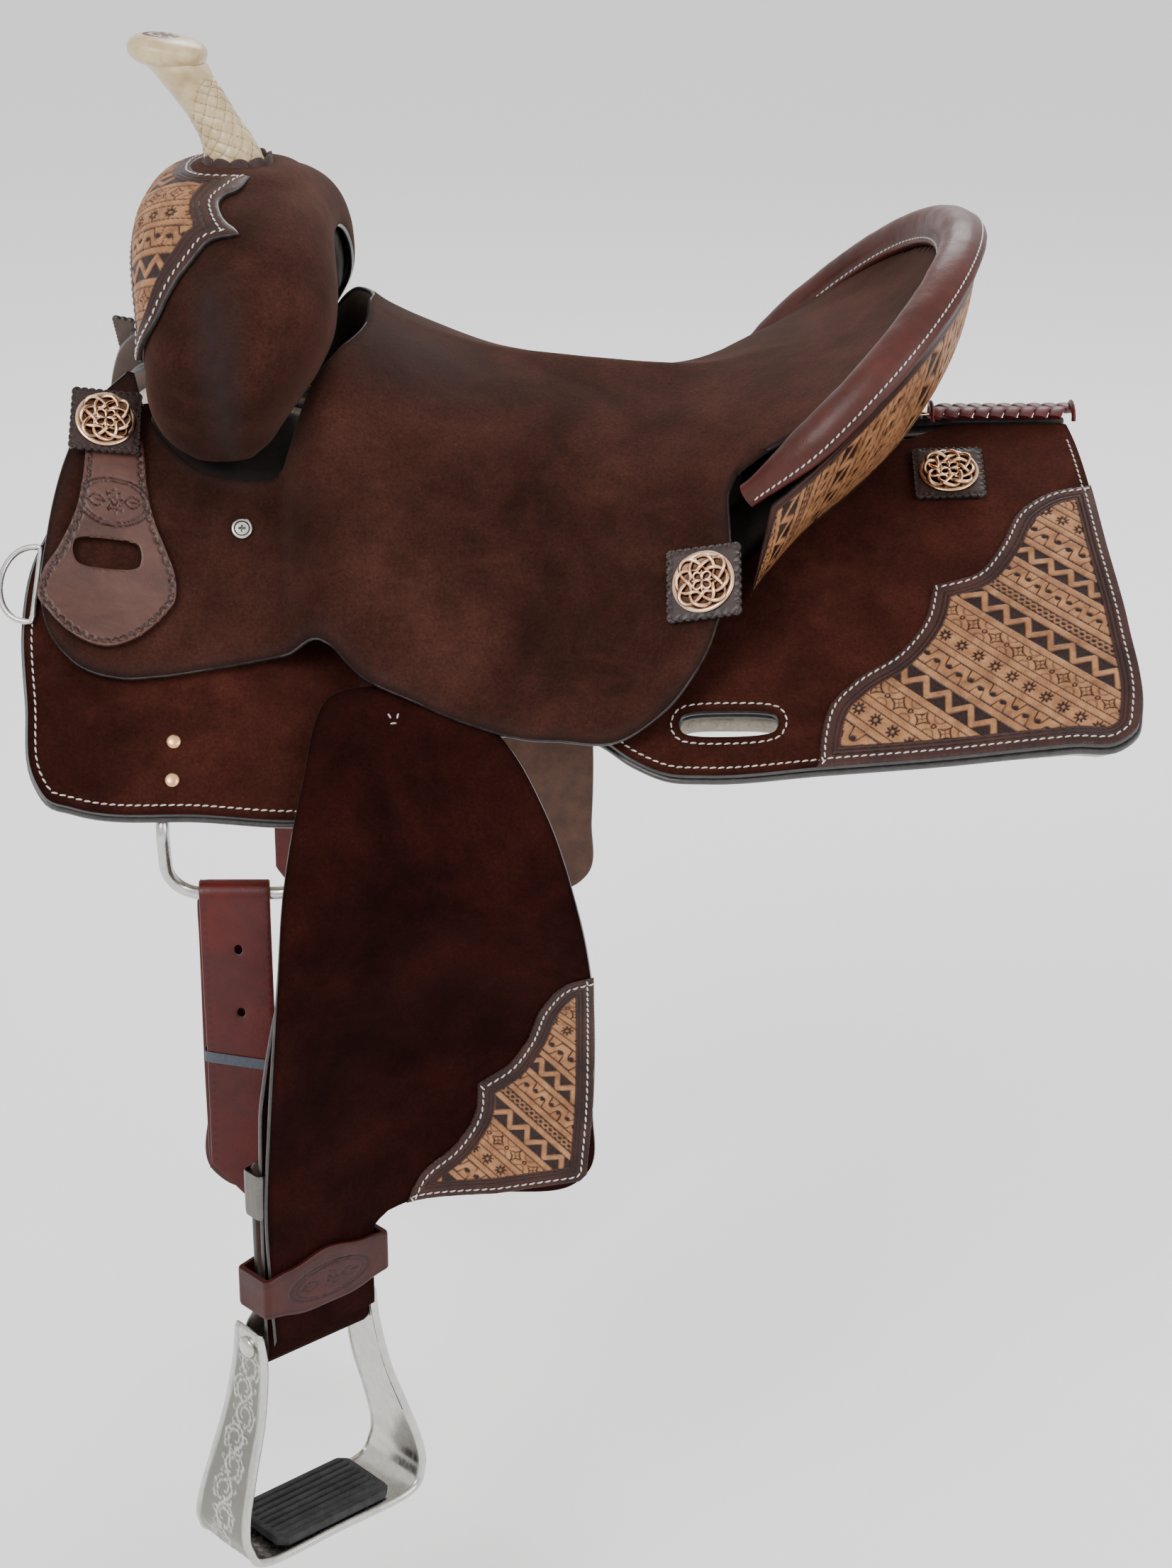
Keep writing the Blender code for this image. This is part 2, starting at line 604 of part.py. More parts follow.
# ---------------------------------------------------------------- cantle
def build_cantle():
    # leather back: from the foot on the skirts up to the underside of the roll
    def back_point(v, w, inset):
        """v -1..1 round the cantle, w 0 foot .. 1 top."""
        s = abs(v)
        fx, fa = along(CANTLE_FOOT, s)
        foot = Vector((fx, fa, skirt_height(fx, fa) + 0.004))
        top = rim(math.radians(104) * s, RIM_RADIUS - 0.004, -ROLL_HEIGHT / 2 - 0.0055)
        p = foot.lerp(top, w)
        away = Vector((math.cos(s * 1.7), math.sin(s * 1.7), -0.5)).normalized()
        p += away * (0.010 * math.sin(math.pi * min(1.0, w * 1.05)) * (1 - 0.6 * s) - inset)
        return Vector((p.x, math.copysign(p.y, v) if v else 0.0, p.z))

    rings = []
    count = 21
    for i in range(count):
        v = -1 + 2 * i / (count - 1)
        outer = [back_point(v, k / 4, 0.0) for k in range(5)]
        inner = [back_point(v, k / 4, 0.0035) for k in range(4, -1, -1)]
        rings.append(outer + inner)
    n = 10
    verts = [p for ring in rings for p in ring]
    faces = []
    for r in range(count - 1):
        for i in range(n):
            j = (i + 1) % n
            faces.append((r * n + i, r * n + j, (r + 1) * n + j, (r + 1) * n + i))
    for base in (0, (count - 1) * n):
        for i in range(4):
            faces.append((base + i, base + i + 1, base + n - 2 - i, base + n - 1 - i))
    make("cantle_back", verts, faces, TOOLED, group)

    # roll along the rim
    rings = []
    count = 25
    for i in range(count):
        tau = math.radians(-107 + 214 * i / (count - 1))
        fade = 1 - 0.45 * ease(88, 107, abs(math.degrees(tau)))
        ring = []
        for k in range(12):
            w = 2 * math.pi * k / 12
            c, b = math.cos(w), math.sin(w)
            r = RIM_RADIUS - ROLL_WIDTH / 2 + 0.004 + ROLL_WIDTH / 2 * fade * c
            lift = ROLL_HEIGHT / 2 * fade * math.copysign(abs(b) ** 0.8, b) + 0.002 - 0.004 * c
            ring.append(rim(tau, r, lift))
        rings.append(ring)
    loft("cantle_roll", rings, SMOOTH, group)

    # wooden cantle between the seat leather and the back
    rings = []
    count = 11
    for i in range(count):
        v = -0.62 + 1.24 * i / (count - 1)
        s = abs(v)
        fx, fa = along(CANTLE_FOOT, s)
        dirx, dira = math.cos(s * 1.5), math.sin(s * 1.5)
        top = rim(math.radians(104) * s, RIM_RADIUS - 0.018, -ROLL_HEIGHT / 2 - 0.0060)
        low_out = Vector((fx - 0.009 * dirx, fa - 0.009 * dira, 0.0))
        low_in = Vector((fx - 0.040 * dirx, fa - 0.040 * dira, 0.0))
        for q in (low_out, low_in):
            q.z = skirt_height(q.x, max(abs(q.y), BAR_INNER)) + 0.024
        p = top - Vector((0.012 * dirx, 0.012 * dira, 0.0))
        hi_in = Vector((p.x, p.y, min(p.z - 0.008, top_height(p.x, p.y) - 0.009)))
        mid = low_in.lerp(hi_in, 0.5)
        mid_in = Vector((mid.x, mid.y, min(mid.z, top_height(mid.x, mid.y) - 0.009)))
        low_in.z = min(low_in.z, top_height(low_in.x, low_in.y) - 0.009)
        ring = [low_out, top, hi_in, mid_in, low_in]
        rings.append([Vector((q.x, math.copysign(abs(q.y), v) if v else 0.0, q.z)) for q in ring])
    loft("tree_cantle", rings, WOOD, group)

    # braid lacing the two skirts together behind the cantle
    place = on_field(skirt_height, 1)
    rings = []
    for k in range(8):
        x = 0.222 + 0.092 * k / 7
        rise = 0.0045 * (1 - 0.5 * (k in (0, 7)))
        c = Vector((x, 0, skirt_height(x, 0) + 0.0015 + rise))
        rings.append(circle_ring(c, Vector((0, 1, 0)), Vector((0, 0, 1)), 0.0125, rise, count=12))
    loft("skirt_braid", rings, BURGUNDY, group)


# ---------------------------------------------------------------- rigging, latigo, front dee
def build_rigging(word, side):
    y = DEE_OUT
    # stainless loop, set in the skirt between leather and wool
    path = []
    for turn in (-1, 1):
        for k in range(5):
            w = math.pi / 2 * k / 4
            if turn > 0:
                w = math.pi / 2 - w
            x = DEE_X + turn * (DEE_HALF - DEE_CORNER + DEE_CORNER * math.cos(w))
            z = DEE_LOW + DEE_CORNER - DEE_CORNER * math.sin(w)
            part = (z - DEE_LOW) / (DEE_TOP - DEE_LOW)
            path.append(Vector((x, side * (DEE_LOW_OUT + (y - DEE_LOW_OUT) * part), z)))
    place = on_field(skirt_height, side)
    inset = -SKIRT_LEATHER - AIR - DEE_BAR
    legs = []
    for x in (DEE_X - DEE_HALF, DEE_X + DEE_HALF):
        legs.append([place(x, a, inset) for a in (0.206, 0.222)] + [Vector((x, side * y, DEE_TOP))])
    full = legs[0] + path + legs[1][::-1]
    bent_rod("rigging_dee_" + word, full, DEE_BAR, STEEL, group, closed=True, count=8)
    # strap round the bottom of the dee
    name = "latigo_left" if side < 0 else "off_billet_right"
    out = Vector((0, side, 0))
    across = Vector((1, 0, 0))
    low = DEE_LOW
    r = DEE_BAR + 0.0010 + 0.00175
    stations = []
    y = DEE_LOW_OUT
    c = Vector((DEE_X - 0.003, side * y, low))
    front_end = -0.395 if side < 0 else -0.400
    back_end = -0.345 if side < 0 else -0.250
    for z in (front_end, -0.33, -0.26, low - 0.008):
        stations.append((Vector((c.x, side * (y + r), z)), across, out))
    for k in range(7):
        w = math.pi * k / 6
        d = Vector((0, side * math.cos(w), math.sin(w)))
        stations.append((c + d * r, across, d))
    for z in (low - 0.008, -0.25, (back_end - 0.25) / 2, back_end):
        if z > back_end - 1e-6:
            stations.append((Vector((c.x, side * (y - r), z)), across, -out))
    strap(name, stations, LATIGO_WIDTH, 0.0035, BURGUNDY, group)
    # breast collar dee under the front edge of the jockey
    a0 = place(-0.3325, 0.139, 0.0030)
    a1 = place(-0.3355, 0.172, 0.0030)
    mid = (a0 + a1) / 2
    bar = (a1 - a0).normalized()
    fwd = Vector((-1, 0, 0))
    fwd = (fwd - bar * fwd.dot(bar)).normalized()
    half = (a1 - a0).length / 2
    path = []
    for k in range(11):
        w = math.pi * k / 10
        path.append(mid - bar * (half * math.cos(w)) + fwd * (0.0215 * math.sin(w) ** 0.8 + 0.001))
    for k in (3, 2, 1):
        path.append(mid - bar * (half * (1 - k / 2)))
    bent_rod("breast_dee_" + word, path, 0.0018, STEEL, group, closed=True, count=6)


# ---------------------------------------------------------------- keepers, conchos, screws
def frame_on(height, side, x, a):
    place = on_field(height, side)
    p = place(x, a, 0.0)
    n = (place(x, a, 0.01) - p).normalized()
    down = (place(x, a + 0.004, 0.0) - p).normalized()
    return place, p, n, down


def concho(name, height, side, x, a, lift, size, ring_size):
    place, p, n, down = frame_on(height, side, x, a)
    spin = down.lerp(n.cross(down), 0.0).normalized()
    turned("rosette_" + name, p + n * lift, n,
           [(ring_size, 0.0), (ring_size, 0.0028)], KEEPER, group, count=20, flat=spin)
    base = lift + 0.0028 + 0.0006
    turned("concho_" + name, p + n * base, n,
           [(size, 0.0), (size, 0.0014), (size * 0.70, 0.0046)],
           COPPER, group, count=14, flat=spin)


def build_trim(word, side):
    concho("front_" + word, top_height, side, -0.2965, 0.0960, 0.0085, 0.0165, 0.0212)
    concho("cantle_" + word, top_height, side, 0.0720, 0.1760, 0.0020, 0.0172, 0.0222)
    concho("rear_" + word, skirt_height, side, 0.2290, 0.0560, 0.0020, 0.0165, 0.0212)
    place = on_field(top_height, side)
    keeper = [(-0.2870, 0.082), (-0.3045, 0.085), (-0.3075, 0.106), (-0.3120, 0.122),
              (-0.3235, 0.140), (-0.3285, 0.152), (-0.3250, 0.165), (-0.2930, 0.1830),
              (-0.2620, 0.158), (-0.2545, 0.144), (-0.2600, 0.128), (-0.2690, 0.110),
              (-0.2770, 0.100)]
    slot = [(-0.3125, 0.1480), (-0.3100, 0.1428), (-0.2735, 0.1405), (-0.2705, 0.1450),
            (-0.2725, 0.1505), (-0.3080, 0.1530)]
    sheet("latigo_keeper_" + word, keeper, lambda x, a: place(x, a, 0.0062),
          lambda x, a: place(x, a, 0.0030), 0.012, KEEPER, group, holes=(slot,))
    _, p, n, _ = frame_on(top_height, side, -0.2107, 0.1290)
    turned("jockey_screw_" + word, p + n * 0.0008, n,
           [(0.0068, 0.0), (0.0064, 0.0014), (0.0045, 0.0024)], STEEL, group, count=16)


# ---------------------------------------------------------------- fenders and stirrups
def local(side):
    """Frame of the straight lower leather: across (rearwards), out, and the bolt centre."""
    c, s = math.cos(FENDER_TWIST), math.sin(FENDER_TWIST)
    across = Vector((c, -side * s, 0))
    out = Vector((s, side * c, 0))
    z = BOLT_Z
    mid = Vector((table(LEATHER_LINE, z), side * table(FENDER_FALL, z), z))
    return across, out, mid - out * BOLT_BEHIND


def build_leathers(word, side):
    place = on_field(skirt_height, side)
    x = -0.100
    # loop over the bar: both halves leave together under the jockey
    stations = []
    middle = (0.0142 + 0.0028) / 2
    turn_a = 0.0462

    def tangent(a, h):
        return (place(x + 0.02, a, h) - place(x - 0.02, a, h)).normalized()

    def station(a, h, sign):
        p = place(x, a, h)
        t = (place(x, a + 0.002, h) - p).normalized()
        n = (place(x, a, h + 0.01) - p).normalized() * sign
        across = tangent(a, h)
        stations.append((p, across, n))

    for a, h in [(0.185, 0.0076), (0.165, 0.0078), (0.145, 0.0088), (0.128, 0.0120), (0.112, 0.0140),
                 (0.085, 0.0142), (0.060, 0.0142)]:
        station(a, h, 1)
    centre = place(x, turn_a, middle)
    up = (place(x, turn_a, 0.02) - place(x, turn_a, 0.0)).normalized()
    inward = (place(x, turn_a - 0.004, middle) - centre).normalized()
    for k in range(7):
        w = math.pi / 2 - math.pi * k / 6
        d = up * math.sin(w) + inward * math.cos(w)
        stations.append((centre + d * (0.0142 - middle), tangent(turn_a, middle), d))
    for a in (0.060, 0.085, 0.112, 0.128, 0.145, 0.165, 0.185):
        station(a, 0.0028, -1)
    strap("bar_loop_" + word, stations, 0.076, 0.0032, ROUGHOUT, group)

    fplace = fender_place(side)

    def hang(z, h, x_at=None):
        xc = table(LEATHER_LINE, z) if x_at is None else x_at
        p = fplace(xc, z, h)
        n = (fplace(xc, z, h + 0.01) - p).normalized()
        w = (fplace(xc + 0.004, z, h) - fplace(xc - 0.004, z, h)).normalized()
        return (p, w, n)

    # root: the short piece at the flex line that carries the swinging leather
    strap("leather_root_" + word, [hang(z, -0.0082) for z in (-0.1010, -0.109, -0.117)],
          0.036, 0.003, ROUGHOUT, group)

    # fender
    sheet("fender_" + word, FENDER_EDGE, lambda u, z: fplace(u, z, LEATHER / 2),
          lambda u, z: fplace(u, z, -LEATHER / 2), 0.027, ROUGHOUT, group)

    # stirrup leather: down behind the fender, round the bolt and up again to the buckle
    stations = [hang(z, -0.0075) for z in (-0.142, -0.165, -0.19, -0.215, -0.24, -0.265, -0.29,
                                           -0.315, -0.39, -0.46)]
    lac, out, bolt = local(side)
    r = 0.0115
    for k in range(9):
        w = -math.pi * k / 8
        d = out * math.cos(w) + Vector((0, 0, 1)) * math.sin(w)
        stations.append((bolt + d * r, lac, d))
    for z, h in ((-0.462, -0.0255), (-0.450, -0.0180), (-0.440, -0.0155), (-0.395, -0.0155),
                 (-0.347, -0.0155)):
        stations.append((bolt + out * (BOLT_BEHIND + h) + Vector((0, 0, z - BOLT_Z)), lac, -out))
    strap("stirrup_leather_" + word, stations, STRAP_WIDTH, STRAP, ROUGHOUT, group)

    # quick-change buckle: plate between the two halves, sleeve round them
    def at(h, z):
        return bolt + out * (BOLT_BEHIND + h) + Vector((0, 0, z - BOLT_Z))

    strap("buckle_plate_" + word, [(at(-0.0115, -0.386), lac, out), (at(-0.0115, -0.348), lac, out)],
          0.072, 0.0020, STEEL, group)

    def band(name, h_out, h_in, width, wall, z0, z1, material, bulge=0.0):
        rings = []
        corners = []
        for inset in (0.0, wall):
            hw = width / 2 - inset
            o, i = h_out - inset, h_in + inset
            q = 0.0012
            corners.append([(-hw + q, i), (hw - q, i), (hw, i + q), (hw, o - q),
                            (hw - q, o), (0.0, o), (-hw + q, o), (-hw, o - q),
                            (-hw, i + q)])
        for which, z in ((0, z0), (0, z1), (1, z1), (1, z0)):
            ring = []
            for w, h in corners[which]:
                drop = 0.0
                if abs(w) < 1e-6 and z == z0:
                    drop = -bulge
                if abs(w) < 1e-6 and z == z1:
                    drop = bulge * 0.4
                ring.append(at(h, z + drop) + lac * w)
            rings.append(ring)
        loft(name, rings, material, group, around=True)

    band("buckle_sleeve_" + word, -0.0026, -0.0206, 0.0870, 0.0012, -0.381, -0.351, STEEL)
    band("hobble_strap_" + word, 0.0066, -0.0245, 0.0960, 0.0034, -0.446, -0.4185, SMOOTH, 0.005)


def arm_path(k):
    """Stirrup side seen along the leather: (across, height below the bolt)."""
    return along([(0.0440, 0.013), (0.0440, -0.010), (0.0500, -0.045), (0.0610, -0.080),
                  (0.0690, -0.108), (0.0690, -0.126), (0.0560, -0.1395), (0.0, -0.1400)], k)


def build_stirrup(word, side):
    lac, out, bolt = local(side)
    up = Vector((0, 0, 1))
    half = []
    count = 16
    for i in range(count + 1):
        k = i / count
        half.append((*arm_path(k), k))
    path = [(-u, w, k) for u, w, k in half] + [(u, w, k) for u, w, k in reversed(half[:-1])]
    rings = []
    for i, (u, w, k) in enumerate(path):
        a = path[max(i - 1, 0)]
        b = path[min(i + 1, len(path) - 1)]
        t = (lac * (b[0] - a[0]) + up * (b[1] - a[1])).normalized()
        n = t.cross(out).normalized()
        deep = table([(0.0, 0.013), (0.12, 0.016), (0.35, 0.021), (0.60, 0.0265), (0.80, 0.0290),
                      (1.0, 0.0290)], k)
        c = bolt + lac * u + up * w
        thick = 0.0022
        rings.append([c - out * deep - n * thick, c + out * deep - n * thick,
                      c + out * deep + n * thick, c - out * deep + n * thick])
    hole_free = rings
    loft("stirrup_" + word, hole_free, ALLOY, group)
    top = -0.1400 + 0.0022 + 0.0012
    ring = []
    for z in (top, top + 0.0068):
        line = []
        for u, v in ((-0.045, -0.022), (-0.041, -0.026), (0.041, -0.026), (0.045, -0.022),
                     (0.045, 0.022), (0.041, 0.026), (-0.041, 0.026), (-0.045, 0.022)):
            line.append(bolt + lac * u + out * v + up * z)
        ring.append(line)
    loft("stirrup_tread_" + word, ring, RUBBER, group)
    rod("stirrup_bolt_" + word, bolt - lac * 0.0413, bolt + lac * 0.0413, 0.0085, STEEL, group)


build_seat()
build_fork()
build_horn()
build_cantle()
for word, side in SIDES:
    build_skirt(word, side)
    build_bar(word, side)
    build_rigging(word, side)
    build_trim(word, side)
    build_leathers(word, side)
    build_stirrup(word, side)
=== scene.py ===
"""Looks of the western saddle: every leather, metal and wool surface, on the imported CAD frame.

Metres, +Z up, horn towards -X, near (left) side on -Y. "a" is the distance from the middle line.
"""
import math

import bmesh
import bpy
import numpy as np
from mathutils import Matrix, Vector, noise
from mathutils.geometry import delaunay_2d_cdt


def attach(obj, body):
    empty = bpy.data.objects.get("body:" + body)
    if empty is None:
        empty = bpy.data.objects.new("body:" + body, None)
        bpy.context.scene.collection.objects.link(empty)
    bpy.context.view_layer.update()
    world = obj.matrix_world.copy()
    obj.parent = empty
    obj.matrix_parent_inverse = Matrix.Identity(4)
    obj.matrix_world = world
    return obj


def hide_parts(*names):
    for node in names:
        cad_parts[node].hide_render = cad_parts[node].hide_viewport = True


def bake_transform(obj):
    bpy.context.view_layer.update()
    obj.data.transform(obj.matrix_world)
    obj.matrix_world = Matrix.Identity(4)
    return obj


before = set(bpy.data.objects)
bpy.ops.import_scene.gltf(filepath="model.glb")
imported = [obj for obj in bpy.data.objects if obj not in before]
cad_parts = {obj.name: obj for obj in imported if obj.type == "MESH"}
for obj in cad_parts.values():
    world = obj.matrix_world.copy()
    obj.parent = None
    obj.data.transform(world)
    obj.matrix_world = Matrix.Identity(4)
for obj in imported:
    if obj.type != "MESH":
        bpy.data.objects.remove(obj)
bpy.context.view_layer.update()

# ---------------------------------------------------------------- sizes (metres)
LEATHER = 0.004
SKIRT_LEATHER = 0.005
AIR = 0.0015
SKIRT_FRONT = -0.335
SKIRT_LENGTH = 0.655
BAR_INNER = 0.045
FENDER_TWIST = math.radians(42)
RIM_TILT = math.radians(44)
RIM_RADIUS = 0.157
RIM_X, RIM_Z, RIM_CENTRE = 0.093, 0.021, 0.050
HORN_BASE = (-0.218, 0.0, 0.1965)
HORN_CAP = (-0.2590, 0.0, 0.2695)
BOLT_Z = -0.475
BOLT_BEHIND = 0.019
DEE_X, DEE_OUT, DEE_TOP, DEE_LOW = -0.2105, 0.2340, -0.158, -0.2020
DEE_LOW_OUT = 0.2220
DEE_HALF, DEE_CORNER, DEE_BAR = 0.0440, 0.0210, 0.0040
LATIGO_WIDTH = 0.043
STITCH = 0.0050            # pitch of the white thread
THREAD = 0.0010

SIDES = (("left", -1), ("right", 1))

# outlines, (x, distance from the middle line)
SEAT_EDGE = [
    (-0.137, 0.000), (-0.138, 0.044), (-0.142, 0.060), (-0.149, 0.076), (-0.158, 0.089),
    (-0.172, 0.0970), (-0.187, 0.1030), (-0.203, 0.1055), (-0.221, 0.1065), (-0.241, 0.1045),
    (-0.259, 0.095), (-0.273, 0.080), (-0.2810, 0.062), (-0.2850, 0.062), (-0.2996, 0.0785),
    (-0.312, 0.0975), (-0.320, 0.118), (-0.328, 0.1435), (-0.331, 0.1645), (-0.325, 0.180),
    (-0.310, 0.191), (-0.282, 0.195), (-0.259, 0.192), (-0.221, 0.1845), (-0.1935, 0.180),
    (-0.165, 0.186), (-0.140, 0.1945), (-0.107, 0.203), (-0.070, 0.214), (-0.032, 0.2225),
    (0.001, 0.2235), (0.034, 0.2185), (0.057, 0.211), (0.074, 0.200), (0.081, 0.189),
    (0.0856, 0.180), (0.0870, 0.168), (0.0865, 0.152), (0.0868, 0.136), (0.0915, 0.1265)]
SKIRT_EDGE = [
    (-0.262, 0.048), (-0.290, 0.060), (-0.308, 0.085), (-0.323, 0.118), (-0.3385, 0.153),
    (-0.3405, 0.174), (-0.336, 0.205), (-0.331, 0.232), (-0.322, 0.2405), (-0.307, 0.2425),
    (-0.233, 0.2400), (-0.150, 0.2380), (-0.125, 0.2330), (-0.108, 0.2200), (-0.080, 0.2050),
    (-0.020, 0.2000), (0.006, 0.2050), (0.028, 0.2180), (0.048, 0.2265), (0.072, 0.2300),
    (0.141, 0.2335), (0.211, 0.2385), (0.2885, 0.2440), (0.3155, 0.2470), (0.325, 0.2415),
    (0.3293, 0.2275), (0.328, 0.176), (0.321, 0.1125), (0.317, 0.068), (0.312, 0.024),
    (0.309, 0.006), (0.236, 0.006), (0.205, 0.022), (0.000, 0.024), (-0.100, 0.030),
    (-0.180, 0.042)]
PATCH_EDGE = [(0.3165, 0.069), (0.292, 0.073), (0.2705, 0.087), (0.256, 0.112), (0.243, 0.1275),
              (0.213, 0.1350), (0.207, 0.1555), (0.192, 0.173), (0.162, 0.1885),
              (0.1476, 0.200), (0.141, 0.217), (0.139, 0.2332)]
CINCH_SLOT = [(0.060, 0.1955), (0.112, 0.1995), (0.1165, 0.2060), (0.112, 0.2125), (0.060, 0.2085),
              (0.0555, 0.2020)]
BAR_EDGE = [
    (-0.271, 0.060), (-0.272, 0.082), (-0.264, 0.101), (-0.245, 0.114), (-0.215, 0.120),
    (-0.170, 0.116), (-0.100, 0.108), (-0.030, 0.108), (0.030, 0.116), (0.070, 0.120),
    (0.092, 0.115), (0.118, 0.096), (0.146, 0.072), (0.168, 0.050), (0.165, 0.045),
    (0.000, BAR_INNER), (-0.040, BAR_INNER + 0.001), (-0.100, BAR_INNER + 0.0015),
    (-0.160, BAR_INNER + 0.001), (-0.230, 0.047)]
CREST = [
    (-0.190, 0.150), (-0.150, 0.122), (-0.1286, 0.104), (-0.090, 0.086), (-0.054, 0.0726),
    (0.016, 0.060), (0.052, 0.058), (0.075, 0.063), (0.110, 0.076), (0.150, 0.086),
    (0.190, 0.107), (0.215, 0.132), (0.240, 0.166)]
FENDER_FALL = [
    (-0.060, 0.168), (-0.085, 0.194), (-0.112, 0.224), (-0.140, 0.250), (-0.170, 0.268),
    (-0.200, 0.2775), (-0.250, 0.2820), (-0.390, 0.2830), (-0.620, 0.2830)]
LEATHER_LINE = [(-0.080, -0.100), (-0.140, -0.113), (-0.220, -0.138), (-0.290, -0.157),
                (-0.335, -0.1625), (-0.380, -0.1625), (-0.620, -0.1625)]
# fender: (x, height)
FENDER_EDGE = [
    (-0.156, -0.086), (-0.125, -0.080), (-0.085, -0.086), (-0.050, -0.104),
    (-0.024, -0.138), (-0.0040, -0.194), (0.0030, -0.238), (0.0055, -0.283), (0.0045, -0.344),
    (0.0010, -0.3885), (-0.004, -0.394), (-0.056, -0.4025), (-0.112, -0.4055),
    (-0.1245, -0.4070), (-0.1320, -0.4125), (-0.1335, -0.422), (-0.1335, -0.440), (-0.1335, -0.468),
    (-0.1915, -0.468), (-0.1930, -0.425), (-0.1938, -0.374), (-0.1905, -0.321),
    (-0.1870, -0.277), (-0.1830, -0.228), (-0.1790, -0.175), (-0.1700, -0.128)]
FENDER_PATCH = [(0.0048, -0.2390), (-0.013, -0.246), (-0.027, -0.265), (-0.037, -0.294),
                (-0.046, -0.309), (-0.0675, -0.3250), (-0.0686, -0.343), (-0.081, -0.366),
                (-0.106, -0.389), (-0.1140, -0.4050), (-0.056, -0.4020), (-0.004, -0.3935),
                (0.0006, -0.3885), (0.0041, -0.344), (0.0051, -0.283)]
SWELL_OUT = [(0.000, 0.1970), (0.040, 0.1950), (0.078, 0.1850), (0.112, 0.1680), (0.140, 0.1430),
             (0.1530, 0.1150), (0.1500, 0.0880), (0.1390, 0.0660), (0.1240, 0.0490),
             (0.1080, 0.0370)]
SWELL_IN = [(0.000, 0.1380), (0.022, 0.1360), (0.040, 0.1260), (0.051, 0.1100), (0.058, 0.0940),
            (0.064, 0.0800), (0.070, 0.0690), (0.077, 0.0600), (0.084, 0.0520), (0.092, 0.0440)]
SWELL_X = [(-0.277, -0.158), (-0.277, -0.157), (-0.276, -0.154), (-0.273, -0.152),
           (-0.2695, -0.154), (-0.2690, -0.163), (-0.2680, -0.174), (-0.2640, -0.184),
           (-0.2560, -0.192), (-0.2440, -0.203)]
# front overlay on the swell: (place along the swell, angle round it in degrees), near half
OVERLAY_EDGE = [(0.00, 70), (-0.05, 72), (-0.085, 79), (-0.10, 95), (-0.15, 92), (-0.20, 87),
                (-0.24, 88), (-0.295, 92), (-0.31, 84), (-0.35, 76), (-0.40, 64), (-0.43, 57),
                (-0.47, 48), (-0.51, 32), (-0.54, 12), (-0.535, 5), (-0.30, 4), (0.00, 4)]
CANTLE_FOOT = [(0.206, 0.000), (0.203, 0.020), (0.188, 0.048), (0.160, 0.078), (0.130, 0.103),
               (0.106, 0.130), (0.100, 0.140)]
# latigo keeper, a little fuller than its CAD body
KEEPER_EDGE = [(-0.2870, 0.082), (-0.3030, 0.085), (-0.3070, 0.104), (-0.3075, 0.1220),
               (-0.3110, 0.1340), (-0.3200, 0.1470), (-0.3300, 0.1590), (-0.3320, 0.1680),
               (-0.3255, 0.1735), (-0.2910, 0.1840), (-0.2560, 0.1665), (-0.2492, 0.1580),
               (-0.2500, 0.1500), (-0.2560, 0.1415), (-0.2640, 0.1315), (-0.2690, 0.1200),
               (-0.2720, 0.1050), (-0.2775, 0.0920)]
KEEPER_SLOT = [(-0.3125, 0.1480), (-0.3100, 0.1428), (-0.2735, 0.1405), (-0.2705, 0.1450),
               (-0.2725, 0.1505), (-0.3080, 0.1530)]


# ---------------------------------------------------------------- maths on arrays
def ease(a, b, v):
    u = np.clip((np.asarray(v, float) - a) / (b - a), 0.0, 1.0)
    return u * u * (3 - 2 * u)


def bump(v, centre, width):
    """1 at centre, fading to 0 at width either side."""
    return 1.0 - ease(0.0, width, np.abs(np.asarray(v, float) - centre))


def table(points, v):
    """Smooth value from a table of (key, value), the same rule as the CAD."""
    pts = np.array(sorted(points), float)
    k, y = pts[:, 0], pts[:, 1]
    last = len(k) - 1
    lo = np.maximum(np.arange(last + 1) - 1, 0)
    hi = np.minimum(np.arange(last + 1) + 1, last)
    slope = (y[hi] - y[lo]) / (k[hi] - k[lo])
    v = np.asarray(v, float)
    i = np.clip(np.searchsorted(k, v, side="left") - 1, 0, last - 1)
    h = k[i + 1] - k[i]
    u = (v - k[i]) / h
    out = ((2 * u ** 3 - 3 * u * u + 1) * y[i] + (u ** 3 - 2 * u * u + u) * h * slope[i]
           + (3 * u * u - 2 * u ** 3) * y[i + 1] + (u ** 3 - u * u) * h * slope[i + 1])
    out = np.where(v <= k[0], y[0] + (v - k[0]) * slope[0], out)
    return np.where(v >= k[-1], y[-1] + (v - k[-1]) * slope[-1], out)


def along(points, t):
    """Smooth coordinates at t in 0..1 through a list of tuples."""
    keys = np.linspace(0, 1, len(points))
    return [table(list(zip(keys, [p[k] for p in points])), t) for k in range(len(points[0]))]


def unit(v):
    return v / np.maximum(np.linalg.norm(v, axis=-1, keepdims=True), 1e-12)


def soft_corners(points, passes=3):
    """Closed outline with its corners cut round: straight slots stay straight."""
    p = np.array(points, float)
    for _ in range(passes):
        after = np.roll(p, -1, 0)
        p = np.stack([p * 0.78 + after * 0.22, p * 0.22 + after * 0.78], 1).reshape(-1, 2)
    return p


